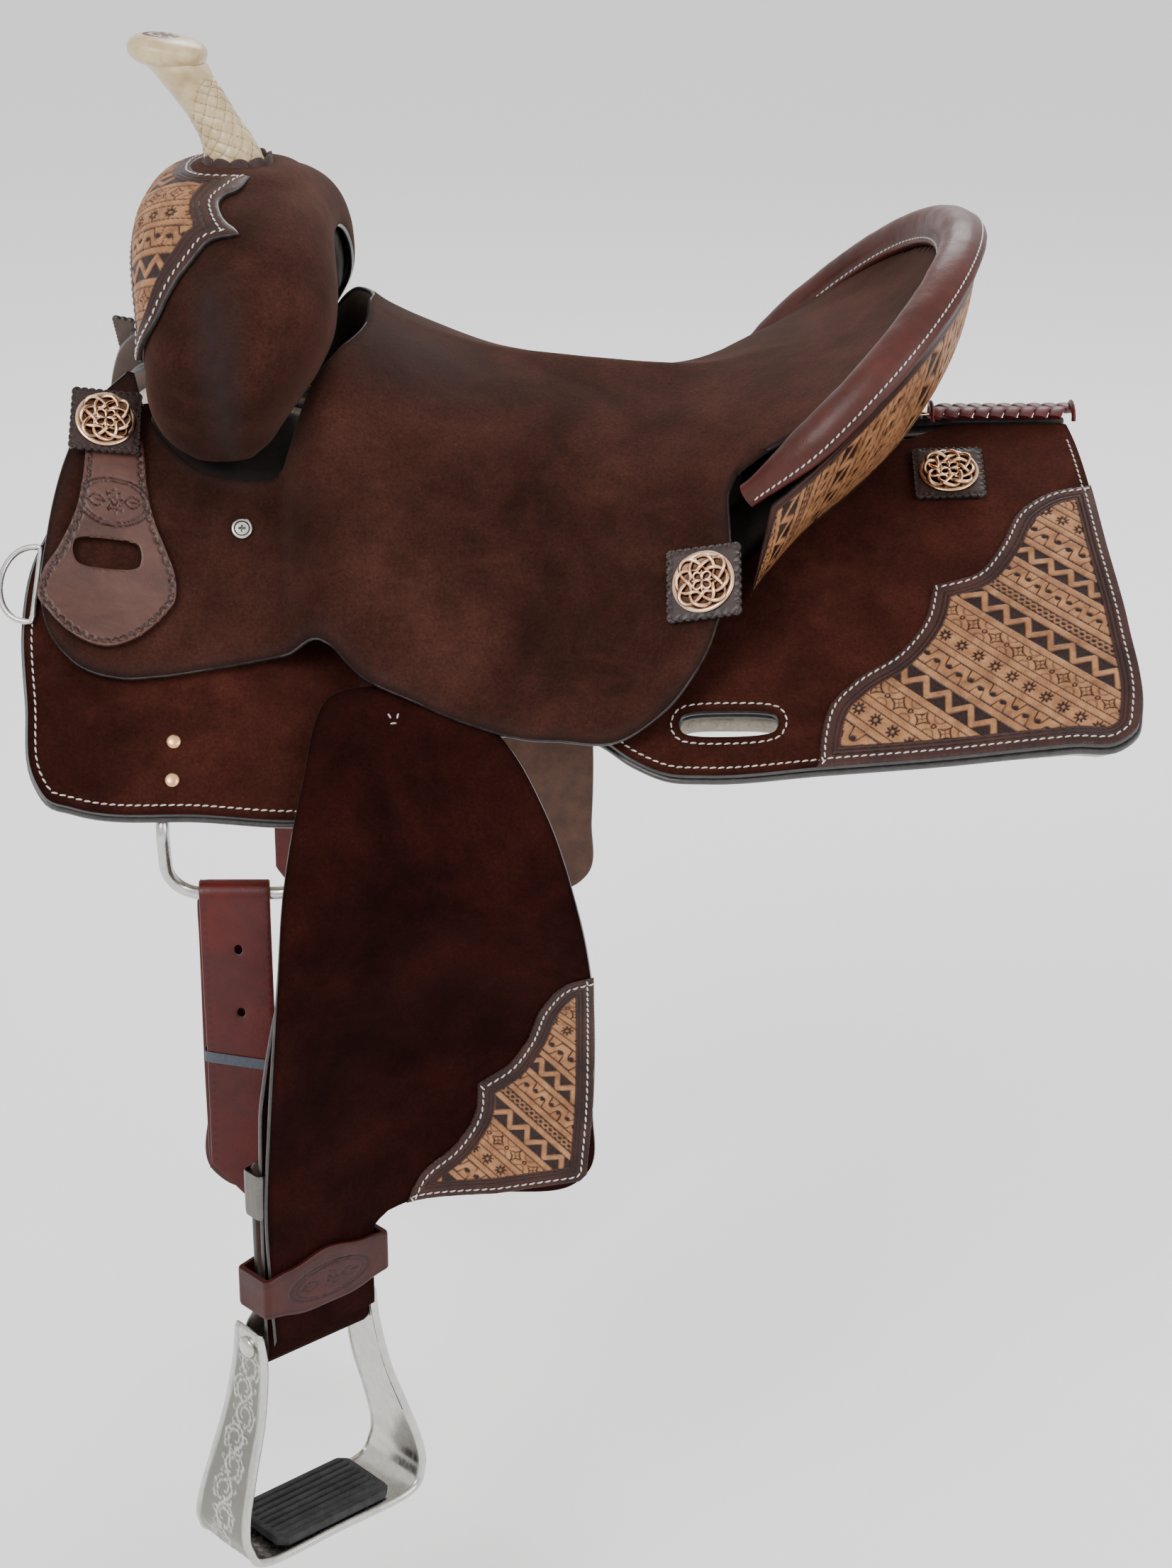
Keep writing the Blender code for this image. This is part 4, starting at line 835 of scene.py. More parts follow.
def rawhide(name, low, high, coat=0.35):
    s = Shade(name)
    base = s.ramp(s.noise(70.0, 6.0, 0.6, 0.3), (0.30, low), (0.68, high))
    stain = s.ramp(s.noise(28.0, 4.0, 0.5, 0.6), (0.58, 0.0), (0.80, 0.55))
    base = s.mix(stain, base, tuple(c * k for c, k in zip(low, (0.80, 0.66, 0.48))))
    # the 'dark' mask: painted shade between the horn's lace strands
    base = s.mix(s.value("dark"), base, tuple(c * k for c, k in zip(low, (0.24, 0.14, 0.07))))
    s.set(Base_Color=base, Roughness=0.36, Coat_Weight=coat, Coat_Roughness=0.25,
          Subsurface_Weight=0.12, Subsurface_Radius=(0.004, 0.0025, 0.0012),
          Normal=s.bump(s.noise(420.0, 5.0, 0.6, 0.4), 0.30, 0.0003))
    s.out.inputs["Subsurface Scale"].default_value = 0.5
    return s.material


def metal(name, colour, rough, brushed=0.25, grime_and_shade=(0.25, 0.24, 0.22)):
    s = Shade(name)
    worn = s.ramp(s.noise(120.0, 6.0, 0.65, 0.5), (0.30, tuple(c * 0.80 for c in colour)), (0.66, colour))
    # the 'dark' mask: patina in the engraving and concho hollows, and painted shade in the screw slot and
    # washer cup
    base = s.mix(s.value("dark"), worn, tuple(c * k for c, k in zip(colour, grime_and_shade)))
    shine = s.ramp(s.noise(260.0, 5.0, 0.6, 0.2, (1.0, 1.0, 0.15)), (0.3, rough * 0.7), (0.7, rough * 1.4))
    s.set(Base_Color=base, Metallic=1.0, Roughness=shine,
          Normal=s.bump(s.noise(1300.0, 3.0, 0.5, 0.0, (1.0, 1.0, 0.08)), brushed, 0.00008))
    return s.material


def rubber():
    s = Shade("black_rubber")
    dust = s.ramp(s.noise(90.0, 6.0, 0.7), (0.4, (0.010, 0.010, 0.011)), (0.75, (0.038, 0.038, 0.040)))
    s.set(Base_Color=dust, Roughness=0.62, Specular_IOR_Level=0.35,
          Normal=s.bump(s.noise(1200.0, 5.0, 0.7), 0.4, 0.0003))
    return s.material


def plain_tape():
    s = Shade("tie_tape")
    weave = s.noise(1500.0, 3.0, 0.6, 0.0, (1.0, 1.0, 3.0))
    s.set(Base_Color=s.ramp(weave, (0.35, (0.030, 0.034, 0.045)), (0.65, (0.085, 0.095, 0.120))),
          Roughness=0.7, Normal=s.bump(weave, 0.5, 0.0002))
    return s.material


ROUGH = roughout("roughout_leather", (0.022, 0.0072, 0.0048), (0.054, 0.0190, 0.0132), 0.10)
ROUGH_SKIRT = roughout("roughout_skirt", (0.023, 0.0052, 0.0034), (0.056, 0.0150, 0.0100), 0.03)
ROUGH_DARK = roughout("roughout_fender", (0.0080, 0.0011, 0.0007), (0.026, 0.0050, 0.0034), 0.0)
EDGE = black_edge()
FLESH = flesh_side()
THREAD_WHITE = white_thread()
SMOOTH = grain_leather("roll_leather", (0.036, 0.0062, 0.0036), (0.080, 0.0150, 0.0090), 0.42, 0.12)
HOBBLE = grain_leather("hobble_leather", (0.026, 0.0036, 0.0026), (0.060, 0.0095, 0.0065), 0.46, 0.06)
BURGUNDY = grain_leather("burgundy_leather", (0.048, 0.0030, 0.0024), (0.095, 0.0068, 0.0050), 0.40, 0.10)
BRAID = grain_leather("braid_leather", (0.056, 0.0048, 0.0056), (0.120, 0.0115, 0.0125), 0.40, 0.12)
KEEPER = grain_leather("keeper_leather", (0.048, 0.0175, 0.0125), (0.100, 0.0420, 0.0310), 0.42, 0.12)
# near-black painted shade for the tree and ground seat seen in the gaps between leathers
PAINTED_SHADE_BASE = grain_leather("painted_shade_underlayer", (0.0070, 0.0042, 0.0036), (0.022, 0.0135, 0.0110), 0.60, 0.05)
ROSETTE = grain_leather("rosette_leather", (0.016, 0.0062, 0.0048), (0.044, 0.0190, 0.0145), 0.42, 0.25)
COLLAR = grain_leather("collar_leather", (0.030, 0.0140, 0.0125), (0.070, 0.0360, 0.0310), 0.55, 0.10)
TOOLED = tooled_leather()
WOOL = wool()
HORN = rawhide("rawhide_horn", (0.38, 0.270, 0.125), (0.62, 0.490, 0.285))
TREE = rawhide("tree_rawhide", (0.62, 0.36, 0.060), (0.82, 0.54, 0.130), 0.25)
STEEL = metal("stainless", (0.58, 0.57, 0.54), 0.24)
DARK_STEEL = metal("darkened_steel", (0.15, 0.14, 0.13), 0.36)
ALLOY = metal("aluminium", (0.56, 0.55, 0.51), 0.24, 0.30, (0.24, 0.23, 0.21))
COPPER = metal("antique_copper", (0.86, 0.56, 0.36), 0.24, 0.12, (0.10, 0.08, 0.08))
RIVET = metal("copper_rivet", (0.88, 0.50, 0.26), 0.28, 0.15)
RUBBER = rubber()
TAPE = plain_tape()
LEATHER_SET = [ROUGH, EDGE, FLESH]


# ---------------------------------------------------------------- carved patterns
BAND_ROWS = [("zigzag", 0.0112), ("star", 0.0108), ("flower", 0.0086), ("serpent", 0.0124),
             ("zigzag", 0.0100), ("serpent", 0.0104), ("braid", 0.0052), ("zigzag", 0.0110),
             ("star", 0.0104), ("flower", 0.0084), ("serpent", 0.0112)]
BAR_WIDTH = 0.0040
LINE = 0.00065


def wave_gap(u, across, period, reach, sharpness):
    """Distance to a wave running along u: triangular when sharpness is 0, else rounded and square."""
    if sharpness:
        a = 2 * np.pi * u / period
        y = reach * np.tanh(sharpness * np.sin(a)) / math.tanh(sharpness)
        slope = reach * sharpness * np.cos(a) * 2 * np.pi / period / np.cosh(sharpness * np.sin(a)) ** 2
        return np.abs(across - y) / np.sqrt(1 + slope ** 2)
    f = np.abs(2 * (u / period - np.floor(u / period)) - 1) * 2 - 1
    return np.abs(across - reach * f) / math.hypot(1, 4 * reach / period)


def motif(kind, u, across, width):
    """How tan a carved band is at (u, across), 0 dark ground to 1."""
    soft = LINE
    if kind == "zigzag":
        gap = wave_gap(u, across, width * 1.30, width * 0.36, 0)
        return 1 - ease(0.0012, 0.0012 + soft, gap)
    if kind == "serpent":
        period = width * 1.28
        gap = wave_gap(u, across, period, width * 0.27, 1.5)
        ribbon = 1 - ease(width * 0.145, width * 0.145 + soft, gap)
        outside = ease(width * 0.245, width * 0.245 + soft, gap)
        turn = (u / period * 2 - 0.5)
        centre = np.round(turn)
        sign = np.where(centre % 2 == 0, 1.0, -1.0)
        hole = np.hypot((turn - centre) * period / 2, across + sign * width * 0.03)
        return np.maximum(ribbon, outside * ease(width * 0.12, width * 0.12 + soft, hole))
    if kind == "star":
        period = width * 1.40
        du = (u / period - np.round(u / period)) * period
        field = (np.abs(du) / (width * 0.50)) ** 0.62 + (np.abs(across) / (width * 0.44)) ** 0.62
        line = ease(0.06, 0.16, np.abs(field - 1))
        cross = ease(0.0002, 0.0006, np.minimum(np.abs(du - across), np.abs(du + across)))
        inner = np.where(field < 0.86, 0.25 + 0.75 * cross, 1.0)
        dv = du - np.sign(du) * period / 2
        ring = ease(0.0002, 0.0006, np.abs(np.hypot(dv, across) - width * 0.10))
        arc = ease(0.0001, 0.0006, np.abs(np.hypot(dv, np.abs(across) - width * 0.52) - width * 0.30))
        return line * inner * ring * (0.35 + 0.65 * arc)
    if kind == "flower":
        period = width * 1.30
        du = (u / period - np.round(u / period)) * period
        r = np.hypot(du, across)
        petal = width * 0.40 * (0.74 + 0.26 * np.cos(8 * np.arctan2(across, du)))
        dot = 1 - ease(width * 0.07, width * 0.07 + soft, r)
        return np.maximum(ease(petal, petal + soft, r), dot)
    a = wave_gap(u, across, width * 1.5, width * 0.30, 1.0)
    b = wave_gap(u + width * 0.75, across, width * 1.5, width * 0.30, 1.0)
    return 0.75 * np.maximum(ease(0.0008, 0.0004, a), ease(0.0008, 0.0004, b))


def carve(u, across, size=1.0, start=0):
    """Tan share of rows of carved bands separated by plain bars; size scales the figures."""
    rows = BAND_ROWS[start:] + BAND_ROWS[:start]
    u, across = u / size, across / size
    total = sum(w + BAR_WIDTH for _, w in rows)
    at = across % total
    tan = np.zeros_like(at)
    low = 0.0
    for k, (kind, width) in enumerate(rows):
        here = (at >= low) & (at < low + width)
        tan[here] = motif(kind, u[here] + 0.0031 * k, at[here] - low - width / 2, width)
        edge_gap = np.minimum(at[here] - low, low + width - at[here])
        tan[here] *= ease(0.0, LINE, edge_gap)
        bar = (at >= low + width) & (at < low + width + BAR_WIDTH)
        gap = np.minimum(at[bar] - low - width, low + width + BAR_WIDTH - at[bar])
        tan[bar] = ease(0.0, LINE, gap)
        low += width + BAR_WIDTH
    return tan


def tool_values(along_of, border, size=1.0, start=0, lines=(0.0072, 0.0094)):
    """values() and relief() for a carved sheet with a plain border of that width."""
    def tan_of(u, v, gap):
        s, c = along_of(u, v)
        return carve(s, c, size, start) * ease(border, border + 0.0006, gap)

    def values(u, v, gap, run):
        tan = tan_of(u, v, gap)
        dark = ease(border - 0.0004, border + 0.0004, gap) * (1 - tan)
        for line in lines:
            dark = np.maximum(dark, bump(gap, line, 0.0009) * 0.9)
        return {"tan": tan, "dark": dark}

    def relief(u, v, gap, run):
        tan = tan_of(u, v, gap)
        lift = -0.0008 * ease(border - 0.0004, border + 0.0004, gap) * (1 - tan)
        for line in lines:
            lift = lift - 0.0006 * bump(gap, line, 0.0009)
        return lift
    return values, relief


# ---------------------------------------------------------------- outlines in use
def nearest(line, point):
    return int(np.argmin(np.hypot(line[:, 0] - point[0], line[:, 1] - point[1])))


def stretch_of(line, first, last):
    """Part of a closed line from the point nearest first, forwards to the one nearest last."""
    i, j = nearest(line, first), nearest(line, last)
    return line[i:j + 1] if i <= j else np.concatenate([line[i:], line[:j + 1]])


def row_in(outline, gap, stretch=(1.0, 1.0), first=None, last=None):
    """A line inside an outline at a true distance from its edge, whole or from first to last."""
    k = np.array(stretch)
    line = inset(outline * k, gap) / k
    if first is None:
        return np.concatenate([line, line[:1]])
    i, j = nearest(outline, first), nearest(outline, last)
    return line[i:j + 1] if i <= j else np.concatenate([line[i:], line[:j + 1]])


def both_sides(edge):
    """Closed outline from a half that starts and ends on the middle line (second value 0)."""
    return list(edge) + [(p[0], -p[1]) for p in reversed(edge) if abs(p[1]) > 1e-6]


SKIRT_STRETCH = (1.0, 1.22)
SKIRT_LINE = smooth_line(SKIRT_EDGE, 0.004, sharp=(30, 31))
LINING_HIGH, LINING_LOW = -0.0051, -0.0096
WOOL_HIGH, WOOL_LOW = 0.0105, 0.0315      # below the skirt's upper face


# ---------------------------------------------------------------- skirts, wool, braid
def skirt_patch_line():
    curve = smooth_line(PATCH_EDGE, 0.003, closed=False, sharp=(5,))
    edge = stretch_of(SKIRT_LINE, PATCH_EDGE[-1], PATCH_EDGE[0])
    return np.concatenate([curve[1:-1], inset(edge, 0.0004, closed=False)])


def make_skirt(word, side):
    place = on_field(skirt_height, side)
    slot = soft_corners(CINCH_SLOT)
    form = sheet_form(SKIRT_LINE, place, -SKIRT_LEATHER + 0.0003, 0.0, 0.0055, holes=(slot,),
                      stretch=SKIRT_STRETCH, soft=0.0014)
    piece("skirt_leather_" + word, form, [ROUGH_SKIRT, EDGE, FLESH], "saddle",
          ["skirt_" + word])
    wide = inset(SKIRT_LINE, -0.0012)
    lining = sheet_form(wide, place, LINING_LOW, LINING_HIGH, 0.014, holes=(slot,),
                        stretch=SKIRT_STRETCH, soft=0.0012)
    piece("skirt_lining_" + word, lining, [EDGE, EDGE, FLESH], "saddle")

    # pile on the underside
    shrink = np.array([(-0.005 + (x + 0.005) * 0.985, 0.130 + (a - 0.130) * 0.925)
                       for x, a in SKIRT_LINE])
    under = on_field(skirt_height, side)

    def downwards(u, v, h=0.0):
        return under(u, v, -np.asarray(h))

    def curls(u, v, gap, run):
        at = np.stack([u, v, np.zeros_like(u)], 1)
        fine = noise_at(at, 150.0, 4, 3.0 * side)
        big = noise_at(at, 38.0, 3, 5.0)
        return 0.0026 * np.abs(fine) * 2.0 + 0.0030 * big

    pile = sheet_form(shrink, downwards, WOOL_HIGH, WOOL_LOW, 0.0042, holes=(slot,), stretch=SKIRT_STRETCH,
                      soft=0.0075, relief=curls)
    piece("sheepskin_" + word, pile, [WOOL, WOOL, WOOL], "saddle", ["fleece_" + word],
          crease=80)

    # thread: round the skirt, round the rear cinch slot
    rows = Form()
    stitch_form(row_in(SKIRT_LINE, 0.0050, SKIRT_STRETCH, (-0.3385, 0.153), (0.312, 0.024)),
                place, rows)
    slot_row = inset(slot * np.array(SKIRT_STRETCH), -0.0052) / np.array(SKIRT_STRETCH)
    stitch_form(np.concatenate([slot_row, slot_row[:1]]), place, rows)

    # carved corner
    patch = skirt_patch_line()
    top_corner = np.array(PATCH_EDGE[0]) * np.array(SKIRT_STRETCH)
    start = (top_corner[0] - top_corner[1]) / math.sqrt(2) + 0.0045

    def diagonal(u, v):
        return (u + v) / math.sqrt(2), start - (u - v) / math.sqrt(2)

    values, relief = tool_values(diagonal, 0.0122, 1.22, 0, (0.0078, 0.0104))
    form = sheet_form(patch, place, 0.0000, 0.0019, 0.00078, stretch=SKIRT_STRETCH, soft=0.0009,
                      relief=relief, values=values, open_back=True)
    piece("skirt_corner_" + word, form, [TOOLED, EDGE, FLESH], "saddle")
    on_patch = row_in(patch, 0.0032, SKIRT_STRETCH, PATCH_EDGE[0], PATCH_EDGE[-1])
    stitch_form(on_patch, place, rows, lift=0.0020)
    on_patch = row_in(patch, 0.0050, SKIRT_STRETCH, PATCH_EDGE[-1], PATCH_EDGE[0])
    stitch_form(on_patch, place, rows, lift=0.0020)
    piece("skirt_thread_" + word, rows, [THREAD_WHITE], "saddle")

    # copper rivets through the front of the skirt
    form = Form()
    for a in (0.2105, 0.2265):
        p = place(-0.2480, a, 0.0)
        n = place(-0.2480, a, 1.0) - p
        lathe_form(p, n, [(0.0046, -0.0004), (0.0047, 0.0004), (0.0044, 0.0012), (0.0034, 0.0019),
                          (0.0018, 0.0023), (0.0003, 0.0024)], form, count=28)
    piece("skirt_rivets_" + word, form, [RIVET], "saddle")


def make_braid():
    """Two rows of domed laces meeting in a herringbone over the join of the skirts."""
    first, pitch, count = 0.2235, 0.0096, 9
    section = ((-1, -0.5), (-0.86, -1), (0, -1.1), (0.86, -1), (1, -0.5), (1, 0.4),
               (0.84, 0.95), (0.4, 1.3), (0, 1.4), (-0.4, 1.3), (-0.84, 0.95), (-1, 0.4))
    form = Form()
    for k in range(count):
        for side in (-1, 1):
            u = np.linspace(0, 1, 18)
            x = first + (k + 0.25 * (1 + side)) * pitch + 0.0066 * u
            y = side * (0.0122 - 0.0145 * u)
            z = skirt_height(x, 0.0) + 0.0030 + 0.0040 * np.sin(np.pi * (0.06 + 0.80 * u))
            path = np.stack([x, y, z], 1)
            t = unit(np.gradient(path, axis=0))
            across = unit(np.cross(np.array((0.0, 0.0, 1.0)), t))
            up = np.cross(t, across)
            rings = [path + across * (w * 0.0043) + up * (h * 0.0012) for w, h in section]
            skin_form(np.stack(rings, 1), form)
    piece("skirt_plait", form, [BRAID], "saddle", ["skirt_braid"], crease=35)
    ties = Form()
    for x in (first - 0.001, first + count * pitch + 0.0030):
        w = np.linspace(0, np.pi, 15)
        path = np.stack([np.full_like(w, x), -0.0118 * np.cos(w),
                         skirt_height(x, 0.0) + 0.0010 + 0.0082 * np.sin(w)], 1)
        rod_form(path, 0.0024, ties, flat=0.6, count=10)
    piece("plait_ends", ties, [BRAID], "saddle")


# ---------------------------------------------------------------- seat, tree
def make_seat():
    tau = np.radians(np.linspace(102, 0, 25))
    arc = rim(tau, RIM_RADIUS - 0.0240)[:, :2]
    edge = smooth_line(SEAT_EDGE, 0.004, closed=False, sharp=(12, 13))
    half = np.concatenate([edge, arc])
    half[0, 1] = half[-1, 1] = 0.0
    outline = np.array(both_sides([tuple(p) for p in half]))
    place = on_field(top_height, 1)
    stretch = (1.0, 1.15)

    def waves(u, v, gap, run):
        at = np.stack([u, v, np.zeros_like(u)], 1)
        return 0.0007 * noise_at(at, 16.0, 2, 1.0)

    def dye(u, v, gap, run):
        # painted shade: the seat greyed and darkened in the corner behind the swell; also darker within 10
        # mm of the cut edge
        near_swell = bump(np.hypot((u + 0.120) / 1.25, np.abs(v) - 0.045), 0.0, 0.085)
        seam = bump(gap, 0.0, 0.010) * 0.35
        return {"dye": np.maximum(0.62 * near_swell, seam)}

    form = sheet_form(outline, place, -LEATHER, 0.0, 0.0046, stretch=stretch, soft=0.0016,
                      relief=waves, values=dye)
    piece("seat_and_jockeys", form, LEATHER_SET, "saddle", ["seat_leather"])


def bar_upper(x, a):
    notch = 1 - ease(0.050, 0.075, np.abs(x + 0.100))
    thin = 0.0050 * ease(0.085, 0.120, a)
    return AIR + 0.0127 - np.maximum(thin, 0.0028 * notch)


def bar_lower(x):
    return AIR + 0.0041 * (1 - ease(0.050, 0.075, np.abs(x + 0.100)))


def make_tree():
    for word, side in SIDES:
        place = on_field(skirt_height, side)

        def layered(u, v, h=0.0):
            low, high = bar_lower(u), bar_upper(u, v)
            return place(u, v, low + (high - low) * np.asarray(h) / 0.010)

        outline = smooth_line(BAR_EDGE, 0.004, sharp=(13, 14))
        form = sheet_form(outline, layered, 0.0, 0.010, 0.008, stretch=(1.0, 1.15), soft=0.003)
        # top and edges near-black as painted shade; the underside keeps the rawhide colour
        piece("bar_rawhide_" + word, form, [PAINTED_SHADE_BASE, PAINTED_SHADE_BASE, TREE], "saddle",
              ["tree_bar_" + word], crease=70)
    t = np.linspace(-0.985, 0.985, 90)
    beta = np.linspace(0, 2 * np.pi, 48, endpoint=False)
    tt, bb = np.meshgrid(t, beta, indexing="ij")
    rough = noise_at(swell_point(tt, bb).reshape(-1, 3), 90.0, 3).reshape(tt.shape) * 0.0006
    form = skin_form(swell_point(tt, bb, -0.0068 + rough))
    # the fork near-black as painted shade
    piece("fork_rawhide", form, [PAINTED_SHADE_BASE], "saddle", ["tree_fork"], crease=80)


# ---------------------------------------------------------------- swell, overlay, horn
SWELL_REACH, SWELL_ROUND = 0.250, 0.050     # metres along and round the swell per unit of t and beta


def swell_place(u, v, h=0.0):
    return swell_point(np.asarray(u) / SWELL_REACH, np.asarray(v) / SWELL_ROUND, h)


def make_swell():
    top = math.pi * SWELL_ROUND
    reach = SWELL_REACH
    notch = [(-0.172, 0.0), (-0.168, 0.015), (-0.145, 0.018), (-0.138, 0.0)]
    line = [(-reach, 0.0)] + notch + [(0.0, 0.0)] + [(-u, v) for u, v in reversed(notch)]
    line += [(reach, 0.0), (reach, top), (0.0, top), (-reach, top)]
    outline = even_line(line, 0.003, closed=True)

    def seam_angle(t):
        return np.radians(table([(0.30, 80), (0.46, 84), (0.64, 92), (0.82, 98), (1.0, 104)], t))

    def shape(u, v, gap, run):
        t = np.abs(u) / reach
        off = v - seam_angle(t) * SWELL_ROUND
        on = ease(0.34, 0.44, t) * (1 - ease(0.90, 0.985, t))
        ridge = on * (0.0026 * bump(off, 0.0, 0.0058) - 0.0016 * bump(off, 0.0, 0.0013))
        base = np.stack([u, v, np.zeros_like(u)], 1)
        folds = 0.0006 * noise_at(base, 22.0, 3, 2.0)
        mound = np.hypot(u, v - math.radians(92) * SWELL_ROUND)
        return ridge + folds + 0.0045 * (1 - ease(0.018, 0.040, mound))

    def dye(u, v, gap, run):
        t = np.abs(u) / reach
        off = v - seam_angle(t) * SWELL_ROUND
        on = ease(0.30, 0.48, t) * (1 - ease(0.92, 1.0, t))
        # painted sheen: a greyed band along the welt; painted shade: a dark line in the seam's groove
        band = 0.55 * on * bump(off, 0.0, 0.015)
        line = 0.9 * on * bump(off, 0.0, 0.0016)
        return {"dye": np.maximum(band, line)}

    form = sheet_form(outline, swell_place, -0.0042, 0.0, 0.0030, soft=0.0016, relief=shape,
                      values=dye)
    piece("swell_leather", form, LEATHER_SET, "saddle", ["swell_cover"])

    # carved overlay on the front, sewn all round
    edge = [(t * reach, math.radians(b) * SWELL_ROUND) for t, b in OVERLAY_EDGE]
    half = smooth_line(edge, 0.0025, closed=False, sharp=(3, 7, 15))
    flipped = np.array([(v, u) for u, v in half])
    flipped[0, 1] = flipped[-1, 1] = 0.0
    whole = np.array(both_sides([tuple(p) for p in flipped]))[:, ::-1]

    def rows(u, v):
        return v * 1.0 + np.abs(u) * 0.22, np.abs(u) * 0.96 - v * 0.22 + 0.06

    values, relief = tool_values(rows, 0.0112, 1.15, 3, (0.0066, 0.0092))
    form = sheet_form(whole, swell_place, 0.0004, 0.0046, 0.0010, soft=0.0012, relief=relief,
                      values=values, open_back=True)
    piece("swell_overlay", form, [TOOLED, EDGE, FLESH], "saddle",
          ["gullet_cover"])
    thread = stitch_form(row_in(whole, 0.0030), swell_place, lift=0.0049)
    piece("overlay_thread", thread, [THREAD_WHITE], "saddle")


def horn_line(t):
    a, b = np.array(HORN_BASE), np.array(HORN_CAP)
    p = a + (b - a) * np.asarray(t)[..., None]
    p[..., 0] += 0.004 * np.sin(np.pi * np.asarray(t))
    return p


HORN_TILT = math.radians(8)


def make_horn():
    # neck: rings turn from level at the swell to the cap's own plane
    rows, count = 190, 150
    t = np.linspace(-0.03, 0.93, rows)
    w = np.linspace(0, 2 * np.pi, count, endpoint=False)
    lean = unit(np.array(HORN_CAP) - np.array(HORN_BASE))
    across = np.array((0.0, 1.0, 0.0))
    back = np.cross(across, lean)
    level = np.array((1.0, 0.0, 0.0))
    cap_back = np.array((math.cos(HORN_TILT), 0.0, -math.sin(HORN_TILT)))
    a = ease(0.0, 0.35, t)[:, None]
    b = ease(0.55, 0.86, t)[:, None]
    rear = level * (1 - a) + back * a
    rear = unit(rear * (1 - b) + cap_back * b)
    radius = 0.0182 - 0.0052 * ease(0.0, 0.42, t) + 0.0072 * ease(0.62, 0.93, t) ** 1.4
    centre = horn_line(t)
    front_more = 0.0030 * ease(0.50, 0.85, t)
    ww, tt = np.meshgrid(w, t)
    strands, turns = 9, 9.0
    p = ww / (2 * np.pi) * strands + tt * turns
    q = ww / (2 * np.pi) * strands - tt * turns
    fp, fq = p - np.floor(p), q - np.floor(q)
    over = (np.floor(p) + np.floor(q)) % 2 == 0
    lace_p = np.sqrt(np.maximum(1 - (2 * fp - 1) ** 2, 0))
    lace_q = np.sqrt(np.maximum(1 - (2 * fq - 1) ** 2, 0))
    lace = np.where(over, lace_p * (0.55 + 0.45 * lace_q), lace_q * (0.55 + 0.45 * lace_p))
    upper = 0.70 + 0.14 * np.cos(ww)
    plain = ease(upper - 0.10, upper + 0.02, tt)
    lift = (0.0013 * lace - 0.0004) * (1 - plain) + 0.0004 * plain
    lift = lift * (1 - ease(0.86, 0.92, tt))
    r = radius[:, None] + lift + front_more[:, None] * np.maximum(0, -np.cos(ww))
    rings = (centre[:, None] + rear[:, None] * (np.cos(ww) * r)[..., None]
             + across * (np.sin(ww) * r)[..., None])
    # painted shade in the gaps between the lace strands
    gaps = (1 - ease(0.05, 0.55, lace)) * (1 - plain)
    form = skin_form(rings, dark=gaps * 0.85)

    axis = np.array((math.sin(HORN_TILT), 0.0, math.cos(HORN_TILT)))
    angle = np.linspace(-0.5 * np.pi, 0.5 * np.pi, 34)
    profile = []
    for g in angle:
        c, s = math.cos(g), math.sin(g)
        wide = 0.0244 * abs(c) ** 0.62
        high = 0.0092 * math.copysign(abs(s) ** 0.80, s) if s > 0 else -0.0104 * abs(s) ** 0.95
        profile.append((max(wide, 0.0001), high))
    lathe_form(HORN_CAP, axis, profile, form, count=96,
               shape=lambda g: 1.0 + 0.020 * np.cos(2 * g) + 0.008 * np.cos(3 * g + 1))
    piece("horn_rawhide", form, [HORN], "saddle", ["horn_wrap", "horn_cap"], crease=60)

    # leather inlay on top of the cap, stamped with a ring of dots
    centre = np.array(HORN_CAP) + axis * 0.0086 + np.array((-0.0015, 0, 0))
    fore = unit(np.cross(axis, across))

    def flat(u, v, h=0.0):
        u, v, h = np.broadcast_arrays(np.asarray(u, float), v, h)
        sag = (u ** 2 + v ** 2) * 5.0
        return centre + fore * u[..., None] + across * v[..., None] + axis * (h - sag)[..., None]

    g = np.linspace(0, 2 * np.pi, 60, endpoint=False)
    oval = np.stack([0.0150 * np.cos(g), 0.0112 * np.sin(g)], 1)

    def dots(u, v, gap, run):
        ring = np.abs(np.hypot(u / 0.0150, v / 0.0112) - 0.66) * 0.013
        spot = np.abs(np.sin(9 * np.arctan2(v, u)))
        leaf = np.sin(5 * np.arctan2(v, u)) * bump(np.hypot(u, v), 0.0045, 0.0035)
        return -0.0005 * bump(ring, 0.0, 0.0016) * spot - 0.0004 * np.maximum(leaf, 0)

    def stain(u, v, gap, run):
        return {"dark": np.clip(-dots(u, v, gap, run) * 2200, 0, 0.9)}

    form = sheet_form(oval, flat, -0.0020, 0.0011, 0.0007, soft=0.0006, relief=dots, values=stain)
    piece("horn_inlay", form, [KEEPER, KEEPER, KEEPER], "saddle")

    # scalloped leather collar round the foot of the horn
    w = np.linspace(0, 2 * np.pi, 220, endpoint=False)
    lobes = 11
    rings = []
    lobe = np.abs(np.sin(lobes * w / 2)) ** 0.6
    for k, (grow, high, lobe_share) in enumerate([
            (0.0290, -0.0075, 0), (0.0252, -0.0030, 0), (0.0222, 0.0010, 0), (0.0206, 0.0040, 0.4),
            (0.0202, 0.0055, 0.8), (0.0196, 0.0062, 1.0), (0.0186, 0.0060, 1.0),
            (0.0180, 0.0045, 0.6), (0.0178, 0.0, 0)]):
        r = grow + 0.0010 * lobe * lobe_share
        z = high + 0.0034 * lobe * lobe_share
        rings.append(np.array(HORN_BASE) + np.stack([r * np.cos(w) * 1.05, r * np.sin(w), z], 1))
    # painted shade in the notches between the scallops
    form = skin_form(np.stack(rings), ends=False, dark=np.stack([
        bump(k, 3, 2) * (1 - lobe) for k in range(9)]) * 0.8)
    piece("horn_collar", form, [COLLAR], "saddle", crease=60)


